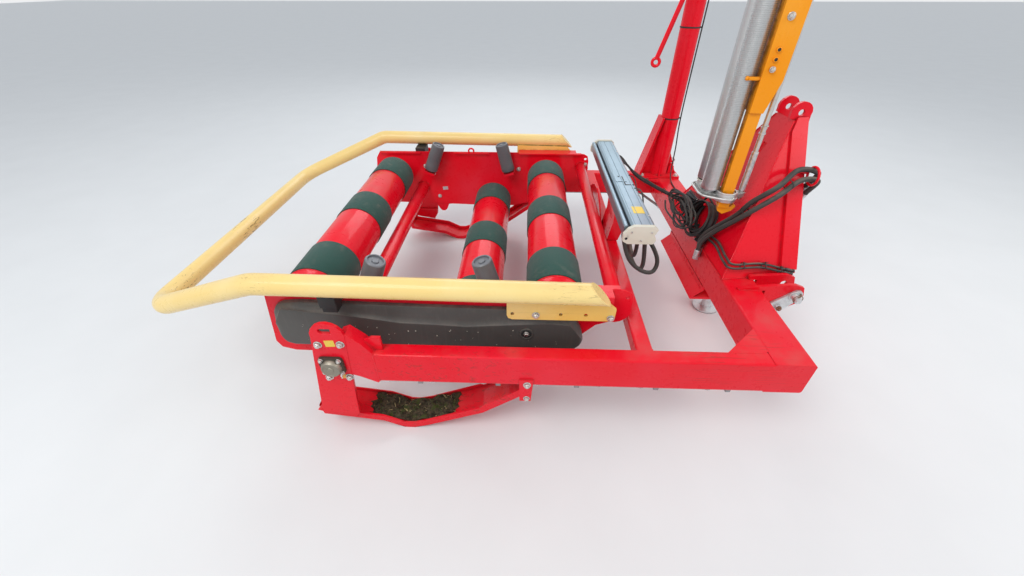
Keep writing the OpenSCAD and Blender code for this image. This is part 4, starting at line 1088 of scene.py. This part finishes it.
def add_loop_flanges():
    b = Build()
    shape = [(0.088, 0.541), (0.44, 0.541), (0.45, 0.55), (0.451, 0.596), (0.41, 0.634), (0.386, 0.662),
        (0.074, 0.6675), (0.07, 0.662), (0.069, 0.56), (0.074, 0.547)]
    holes = [(x, 0.567, 0.0068) for x in (0.089, 0.26, 0.348)]
    for side in SIDES:
        here = Matrix(((1, 0, 0, 0), (0, 0, side, side * 0.752), (0, 1, 0, 0), (0, 0, 0, 1)))
        b.plate(shape, holes, 0.01, yellow, here)
        for x, z in ((0.172, 0.563), (0.436, 0.556)):
            bolt(b, (x, side * 0.762, z), (0, side, 0), 0.0115)
        b.prism(rounded(0.012, 0.06, 0.002), 0.048, yellow,
            place((0.3, side * 0.7045, 0.59), (0, side, 0), (1, 0, 0)))
    piece("loop_flange_plates", "table", b, 0.0007, replaces=("loop_flanges",))
    b = Build()
    high, low = LOOP_CUT
    lean = Vector((high[1] - low[1], 0, low[0] - high[0])).normalized()
    down = Vector((low[0] - high[0], 0, low[1] - high[1]))
    for side in SIDES:
        here = place(((high[0] + low[0]) / 2, side * LOOP_Y, (high[1] + low[1]) / 2), lean, down)
        oval = [((down.length / 2 - 0.0008) * x, (LOOP_R - 0.0008) * y) for x, y in circle(0, 0, 1, 96)]
        b.prism(oval, 0.0026, cream, here)
        b.pipe([here @ Vector((x, y, 0.0006)) for x, y in oval],
            [0.0018 + 0.0005 * cos(i * 1.9) for i in range(96)], cream, 6, closed=True)
        bead(b, (0.075, side * 0.7655, 0.669), (0.38, side * 0.7655, 0.6655), 0.0032, yellow)
    piece("loop_ends", "table", b, 0.0004, sharp=60)


def add_loop():
    """The bent tube, with its two ends cut on a slant."""
    b = Build()
    far = [(0.4, LOOP_Y, 0.6858), (-0.789, LOOP_Y, 0.699), (-LOOP_END, 0.68, 0.49)]
    b.pipe(bent(far + [(x, -y, z) for x, y, z in reversed(far)], 0.112, 14), LOOP_R, cream, 64)
    high, low = LOOP_CUT
    for i in list(range(64)) + list(range(len(b.points) - 64, len(b.points))):
        x, y, z = b.points[i]
        b.points[i] = (low[0] + (high[0] - low[0]) * (z - low[1]) / (high[1] - low[1]), y, z)
    piece("bent_loop", "table", b, replaces=("loop",))


def add_table_trim():
    b = Build()
    for side in SIDES:
        inner, outer = side * 0.696, side * 0.704
        for x, z in ((-0.522, 0.547), (-0.472, 0.502), (0.015, 0.502), (0.08, 0.534)):
            bolt(b, (x, inner, z), (0, -side, 0), 0.0115)
        bolt(b, (-0.449, inner, 0.343), (0, -side, 0), 0.0105)
        bolt(b, (0.5, inner, 0.57), (0, -side, 0), 0.011)
        b.prism(rounded(0.034, 0.022, 0.002), 0.0012, zinc,
            place((-0.406, inner, 0.399), (0, -side, 0), (1, 0, 0.1)))
        for u in (-0.013, 0.013):
            screw(b, (-0.406 + u, inner - side * 0.0012, 0.399 + u * 0.1), (0, -side, 0), 0.0026)
        for x, z in ((-0.3, 0.614), (0.02, 0.614)) if side > 0 else ():
            bolt(b, (x, outer, z), (0, side, 0), 0.011)
        for i, (x, z) in enumerate(ROLLERS):
            if (side < 0 and i < 2) or (side > 0 and i == 2):
                continue
            for u, v in circle(x, z, 0.0275, 4, pi / 4):
                bolt(b, (u, side * 0.72, v), (0, side, 0), 0.0062, washer=0)
            b.lathe([(0, 0), (0.015, 0), (0.015, 0.003), (0.0135, 0.004), (0, 0.004)], zinc,
                place((x, side * 0.7243, z), (0, side, 0)), 32)
        pin = place((CYLINDER_EYE.x, side * 0.804, CYLINDER_EYE.z), (0, side, 0))
        b.lathe([(0.0045, -0.006), (0.013, -0.006), (0.013, -0.004), (0.0045, -0.004)], bolt_zinc, pin,
            24)
        b.pipe([pin @ Vector(p) for p in ((0.0, -0.013, -0.0022), (0.0, 0.011, -0.0022),
            (0.003, 0.017, -0.0022), (0.007, 0.013, -0.0022))], 0.0013, bolt_zinc, 6)
    motor_x, motor_z = ROLLERS[2]
    for x, z in circle(motor_x, motor_z, 0.027, 4, pi / 4):
        bolt(b, (x, 0.784, z), (0, 1, 0), 0.0062, washer=0)
    for i in range(2):
        x = motor_x - 0.012 + 0.024 * i
        drop = 0.022 * i
        port = place((x, 0.743, motor_z - 0.066), (0, 0, -1))
        b.lathe([(0, 0), (0.0095, 0), (0.0095, 0.01), (0.008, 0.012), (0.008, 0.03), (0.007, 0.032)],
            zinc, port, 6)
        b.pipe(smooth([(x, 0.743, motor_z - 0.094), (x, 0.743, motor_z - 0.13),
            (x - 0.035, 0.74, motor_z - 0.165), (x - 0.14, 0.728, motor_z - 0.176),
            (x - 0.3, 0.716 + 0.001 * i, motor_z - 0.15 - 0.02 * i), (-0.25, 0.716, 0.352 - drop),
            (-0.42, 0.716, 0.39 - drop), (-0.47, 0.716, 0.398 - drop)], 8), 0.008, hose_rubber, 12)
        b.lathe([(0, -0.004), (0.0105, -0.004), (0.0105, 0.014), (0.0085, 0.017), (0, 0.017)], zinc,
            place((-0.47, 0.716, 0.398 - drop), (-1, 0, 0.04)), 6)
    piece("table_bolts", "table", b, 0.0004)
    b = Build()
    for side in SIDES:
        ring_bead(b, (PIVOT[0], side * 0.6935, PIVOT[1]), (0, side, 0), 0.0385, 0.0035)
        ring_bead(b, (0.471, side * 0.6935, 0.555), (0, side, 0), 0.032, 0.0035)
        for start, end in ((-0.796, -0.54), (-0.33, -0.11), (0.08, 0.47)):
            bead(b, (start, side * 0.6945, 0.6305), (end, side * 0.6945, 0.6305), 0.003)
        bead(b, (0.082, side * 0.7055, 0.606), (0.082, side * 0.7055, 0.638), 0.003)
        bead(b, (-0.487, side * 0.7055, 0.2975), (-0.387, side * 0.7055, 0.2975), 0.003)
    piece("table_welds", "table", b, sharp=80)


def add_roller_ends():
    """Turned end caps, a shaft collar and the edges of the friction bands."""
    for i, (x, z) in enumerate(ROLLERS):
        b = Build()
        for side in SIDES:
            here = place((x, 0, z), (0, side, 0))
            b.lathe([(0.0205, 0.671), (0.03, 0.671), (0.0315, 0.6725), (0.0315, 0.683), (0.03, 0.6845),
                (0.0205, 0.6845)], zinc, here, 36)
            screw(b, here @ Vector((0.0315, 0, 0.6778)), here.to_3x3() @ Vector((1, 0, 0)), 0.0032)
            ring_bead(b, here @ Vector((0, 0, 0.6095)), (0, side, 0), 0.1075, 0.0022)
        piece(f"bale_roller_{i + 1}_ends", f"bale_roller_{i + 1}", b, sharp=45)


def add_cylinder_trim():
    along = (CYLINDER_EYE - CYLINDER_BASE).normalized()
    up = Vector((along.z, 0, -along.x))
    for side, word in ((-1, "near"), (1, "far")):
        b = Build()
        axis = CYLINDER_BASE + Vector((0, side * CYLINDER_Y, 0))
        gland = place(axis + along * 0.6265, along)
        b.lathe([(0.0222, -0.004), (0.0238, -0.002), (0.0238, 0.01), (0.0222, 0.013), (0.016, 0.0134),
            (0.0113, 0.0134)], zinc, gland, 8)
        for reach in (0.05, 0.6):
            port = place(axis + along * reach + up * 0.0195, up)
            b.lathe([(0, 0), (0.011, 0), (0.011, 0.009), (0, 0.009)], barrel_black, port, 20)
            b.lathe([(0, 0.009), (0.0098, 0.009), (0.0098, 0.018), (0.008, 0.02), (0, 0.02)], zinc, port,
                6)
            start = port @ Vector((0, 0, 0.019))
            if reach > 0.1:
                b.pipe(smooth([start, start + up * 0.014 - along * 0.006,
                    axis + along * 0.54 + up * 0.036, axis + along * 0.3 + up * 0.0305,
                    axis + along * 0.1 + up * 0.0305, axis + along * 0.066 + up * 0.034], 8), 0.0065,
                    hose_rubber, 10)
        for reach in (0.13, 0.42):
            b.lathe(ring(0.0221, 0.023, -0.005, 0.005), zinc, place(axis + along * reach, along), 36)
        piece(f"{word}_cylinder_trim", f"{word}_cylinder", b, 0.0003)


# Film dispenser

def grooved(radius, low, high, edge, depth, margins, pitch, cut):
    """The outline of a bar with grooves; edge is its chamfer and cut the four heights of a groove."""
    outline = [(0, low), (radius - edge[0], low), (radius, low + edge[1]), (radius, low + margins[0])]
    z = low + margins[0]
    while z < high - margins[1]:
        outline += [(radius - deep, z + up) for deep, up in zip((0, depth, depth, 0), cut)]
        z += pitch
    return outline + [(radius, high - edge[1]), (radius - edge[0], high), (0, high)]


def film_shaft(b, foot, low, high, tip=(0.0005, 0.0008)):
    """The ends of a film roller's shaft, in the base and in the head."""
    r, bottom, top = FILM_PIN_R, BASE_Z - 0.004, HEAD_Z + 0.02
    b.lathe([(0, bottom), (r - 0.0005, bottom), (r, bottom + 0.0008), (r, low + 0.001)], bolt_zinc, foot,
        24)
    b.lathe([(r, high), (r, top - tip[1]), (r - tip[0], top), (0, top)], bolt_zinc, foot, 24)


def add_film_rollers():
    pin, base, high = FILM_PIN_R, BASE_Z, HEAD_Z - 0.008
    b = Build()
    foot, low = place(arm(*RIBBED_AT, 0)), base + 0.028
    b.lathe(grooved(RIBBED_R, low, high, (0.0012, 0.0012), 0.0012, (0.012, 0.018), 0.006,
        (0.0028, 0.0034, 0.0052, 0.0058)), roller_alloy, foot, 56)
    film_shaft(b, foot, low, high - 0.001)
    b.lathe([(pin, base + 0.0155), (0.024, base + 0.0155), (0.024, base + 0.0225), (0.022, base + 0.024),
        (pin, base + 0.024)], zinc, foot, 36)
    piece("ribbed_film_roller_turned", "ribbed_film_roller", b, sharp=30,
        replaces=("ribbed_roller",))
    b = Build()
    foot, low = place(arm(*SMOOTH_AT, 0)), base + 0.042
    b.lathe([(0, low), (SMOOTH_R - 0.0014, low), (SMOOTH_R, low + 0.0016), (SMOOTH_R, high - 0.0016),
        (SMOOTH_R - 0.0014, high), (0.02, high), (0.019, high - 0.002), (0, high - 0.002)], roller_alloy,
        foot, 56)
    film_shaft(b, foot, low, high - 0.003)
    b.lathe([(pin, base + 0.0308), (0.029, base + 0.0308), (0.0295, base + 0.0315),
        (0.0295, base + 0.0345), (pin, base + 0.035)], casting, foot, 40)
    b.lathe([(pin, base + 0.035), (0.0235, base + 0.035), (0.025, base + 0.0365), (0.025, base + 0.0412),
        (pin, base + 0.0412)], rubber, foot, 40)
    piece("smooth_film_roller_turned", "smooth_film_roller", b, sharp=30,
        replaces=("smooth_roller",))
    b = Build()
    at = arm(*SPINDLE_AT, 0)
    foot, low, high = place(at), base + 0.026, base + 0.191
    b.lathe(grooved(SPINDLE_R, low, high, (0.0008, 0.001), 0.0009, (0.008, 0.01), 0.004,
        (0.0018, 0.0022, 0.0032, 0.0036)), zinc, foot, 36)
    film_shaft(b, foot, low, high - 0.001, (0.0015, 0.002))
    b.lathe([(pin, 1.02), (0.0128, 1.02), (0.0128, 1.026), (pin, 1.026)], zinc, foot, 24)
    turns = np.linspace(0, 2 * pi, 26)
    b.pipe([at + Vector((0.0128 * cos(a), 0.0128 * sin(a), 1.04 + 0.002 * a)) for a in turns], 0.0016,
        bolt_zinc, 7)
    piece("spindle_turned", "spindle", b, sharp=30, replaces=("film_spindle",))


def add_dispenser_trim():
    b = Build()
    post = POST_X
    sole, top = BASE_Z - 0.003, BASE_Z + 0.022
    ends = ((RIBBED_AT, 0.043), (SMOOTH_AT, 0.041), ((post, 0.0), 0.0445))
    rim = hull([p for at, r in ends for p in circle(*at, r, 40)])
    flat = Matrix.Translation(arm(0, 0, 0)) @ Matrix.Rotation(-PARK, 4, "Z")
    b.prism(rim, 0.007, cast_alloy, flat @ shift(0, 0, sole))
    b.pipe([flat @ Vector((x, y, BASE_Z + 0.0035)) for x, y in rim], 0.0046, cast_alloy, 8, closed=True)
    b.lathe([(0.0355, top - 0.001), (0.0355, top + 0.005), (0.037, top + 0.0065), (0.0425, top + 0.0065),
        (0.044, top + 0.005), (0.044, top - 0.001)], cast_alloy, place(arm(post, 0, 0)), 48)
    for at, size, z in ((RIBBED_AT, 0.0265, BASE_Z + 0.014), (SPINDLE_AT, 0.0145, BASE_Z + 0.018)):
        b.lathe([(0.0102, z - 0.001), (size, z - 0.001), (size, z + 0.002), (size - 0.002, z + 0.003),
            (0.0102, z + 0.003)], cast_alloy, place(arm(*at, 0)), 40)
    for at in (RIBBED_AT, SMOOTH_AT):
        z = HEAD_Z + 0.014
        b.lathe([(0.0102, z - 0.001), (0.024, z - 0.001), (0.024, z + 0.005), (0.022, z + 0.0065),
            (0.0102, z + 0.0065)], cast_alloy, place(arm(*at, 0)), 40)
        bolt(b, arm(at[0], at[1], HEAD_Z + 0.0205), (0, 0, 1), 0.009, washer=1.1, tail=False)
    for at in (RIBBED_AT, SMOOTH_AT, SPINDLE_AT):
        bolt(b, arm(at[0], at[1], BASE_Z - 0.0042), (0, 0, -1), 0.0088, washer=1.2)
    for a in (60, 180, 300):
        turn = radians(a)
        bolt(b, arm(post + 0.0438 * cos(turn), 0.0438 * sin(turn), BASE_Z + 0.008),
            arm_way(cos(turn), sin(turn)), 0.0058, washer=0)
    piece("dispenser_trim", "film_arm", b, 0.0006)
    b = Build()
    out = arm_way(0, -1)
    for z in (1.286, 1.316):
        here = place(arm(post + 0.002, -0.038, z), out)
        b.lathe([(0, 0.0003), (0.0058, 0.0003), (0.0058, 0.0001)], rubber, here, 20)
        b.lathe([(0.0058, 0), (0.0058, 0.0016), (0.0078, 0.0016), (0.0086, 0)], orange, here, 24)
    bolt(b, arm(post + 0.002, -0.038, 1.255), out, 0.0085)
    for z in (1.412, 1.69, 1.88):
        bolt(b, arm(post + 0.006, -0.032, z), out, 0.0105)
        bolt(b, arm(post + 0.006, 0.032, z), arm_way(0, 1), 0.0105)
    b.prism(rounded(0.012, 0.02, 0.004), 0.04, orange,
        place(arm(post - 0.0235, -0.016, 1.222), arm_way(-1, -0.1)))
    b.lathe([(0, 0), (0.0075, 0.0), (0.0082, 0.004), (0.006, 0.009), (0, 0.01)], orange,
        place(arm(post - 0.063, -0.02, 1.222), arm_way(-1, 0)), 16)
    corners = [arm(post + 0.014 + u * 0.038, v * 0.033, 2.0385)
        for u, v in ((-1, -1), (1, -1), (1, 1), (-1, 1))]
    for start, end in zip(corners, corners[1:] + corners[:1]):
        bead(b, start, end, 0.0034, orange)
    for side in SIDES:
        bead(b, arm(post - 0.158, side * 0.008, 2.04), arm(post - 0.028, side * 0.008, 2.04), 0.003,
            orange)
        bead(b, arm(post - 0.0255, side * 0.008, 1.895), arm(post - 0.0255, side * 0.008, 2.036), 0.003,
            orange)
    piece("post_trim", "film_arm", b, 0.0005)
    b = Build()
    for at in circle(0, 0, 0.07, 6):
        bolt(b, arm(*at, 2.1605), (0, 0, 1), 0.008, washer=1.1)
    for x, way in ((-0.13, -1), (post + 0.06, 1)):
        b.prism(rounded(0.078, 0.078, 0.01), 0.003, box_black, place(arm(x, 0, 2.08), arm_way(way, 0)))
    piece("arm_end_caps", "film_arm", b, 0.0008)


# Parking leg

def add_leg_trim():
    b = Build()
    b.pipe([(x, -0.068, z) for x, z in circle(LEG_X, 0.505, 0.014, 24)], 0.0022, bolt_zinc, 8,
        closed=True)
    b.lathe([(0.0255, 0), (0.033, 0), (0.0345, 0.002), (0.0345, 0.01), (0.033, 0.012), (0.0255, 0.012)],
        red, place((LEG_X, 0, 0.5498)), 40)
    bolt(b, (1.2115, 0, 0.44), (1, 0, 0), 0.011)
    piece("leg_sleeve_trim", "frame", b, 0.0004)
    b = Build()
    ring_bead(b, (LEG_X, 0, 0.0135), (0, 0, 1), 0.027, 0.0035, zinc)
    b.lathe([(0, 0), (0.0235, 0), (0.024, 0.002), (0.0225, 0.005), (0, 0.006)], box_black,
        place((LEG_X, 0, 0.5695)), 32)
    piece("leg_trim", "leg", b)


for make in (add_end_plates, add_bearings, add_pipe_fittings, add_soil, add_frame_welds, add_mast_trim,
        add_slewing_trim, add_cables, add_hoses, add_control_box, add_linkage_trim, add_cutter_trim,
        add_side_cover, add_guides, add_loop, add_loop_flanges, add_table_trim, add_roller_ends,
        add_cylinder_trim, add_film_rollers, add_dispenser_trim, add_leg_trim):
    make()


# Floor, light and camera

def add_floor():
    mesh = bpy.data.meshes.new("floor")
    size = 40.0
    mesh.from_pydata([(-size, -size, 0), (size, -size, 0), (size, size, 0), (-size, size, 0)], [],
        [(0, 1, 2, 3)])
    floor = bpy.data.objects.new("floor", mesh)
    scene.collection.objects.link(floor)
    g = Graph("floor_paint", Roughness=0.75, Specular_IOR_Level=0.25)
    g.set(Base_Color=g.blend(g.noise(3.0, 6.0), (0.74, 0.74, 0.73), (0.79, 0.79, 0.78)))
    mesh.materials.append(g.material)


def add_world():
    world = bpy.data.worlds.new("studio")
    scene.world = world
    world.use_nodes = True
    tree = world.node_tree
    tree.nodes.clear()
    kinds = ("OutputWorld", "MixShader", "LightPath", "Math", "Math", "Background", "Background")
    out, mix, rays, seen, either, soft, pale = (tree.nodes.new("ShaderNode" + kind) for kind in kinds)
    seen.operation = either.operation = "MAXIMUM"
    for node, colour, strength in (
            (soft, (0.86, 0.92, 1.0, 1), 0.72), (pale, (0.86, 0.87, 0.88, 1), 1.0)):
        node.inputs[0].default_value = colour
        node.inputs[1].default_value = strength
    for start, output, end, socket in (
            (rays, "Is Glossy Ray", seen, 0), (rays, "Is Transmission Ray", seen, 1),
            (rays, "Is Camera Ray", either, 0), (seen, 0, either, 1), (either, 0, mix, 0),
            (soft, 0, mix, 1), (pale, 0, mix, 2), (mix, 0, out, 0)):
        tree.links.new(start.outputs[output], end.inputs[socket])


def add_lamp(name, at, target, size, power, colour=(1, 1, 1)):
    lamp = bpy.data.lights.new(name, "AREA")
    lamp.shape = "RECTANGLE"
    lamp.size, lamp.size_y = size
    lamp.energy = power
    lamp.color = colour
    holder = bpy.data.objects.new(name, lamp)
    scene.collection.objects.link(holder)
    holder.location = at
    holder.rotation_euler = (Vector(target) - Vector(at)).to_track_quat("-Z", "Y").to_euler()
    holder.visible_camera = False


CAMERA_PLACE = (0.126, -1.854, 1.511)
CAMERA_DOWN = 37.213
CAMERA_TURN = 1.995
CAMERA_LENS = 14.33


def add_camera():
    camera = bpy.data.cameras.new("camera")
    camera.sensor_width = 36.0
    camera.lens = CAMERA_LENS
    camera.clip_start = 0.02
    holder = bpy.data.objects.new("camera", camera)
    scene.collection.objects.link(holder)
    holder.location = CAMERA_PLACE
    holder.rotation_euler = (radians(90 - CAMERA_DOWN), 0, radians(CAMERA_TURN))
    scene.camera = holder


add_floor()
add_world()
add_lamp("key", (-2.2, -3.6, 5.2), (0.1, 0.0, 0.4), (3.0, 3.0), 175)
add_lamp("fill", (4.2, -1.5, 3.4), (0.2, 0.0, 0.6), (2.6, 2.6), 55, (1.0, 0.97, 0.93))
add_lamp("rear", (0.4, 4.6, 4.4), (0.1, 0.0, 0.6), (4.0, 2.0), 80, (0.93, 0.97, 1.0))
add_camera()
scene.view_settings.view_transform = "Standard"
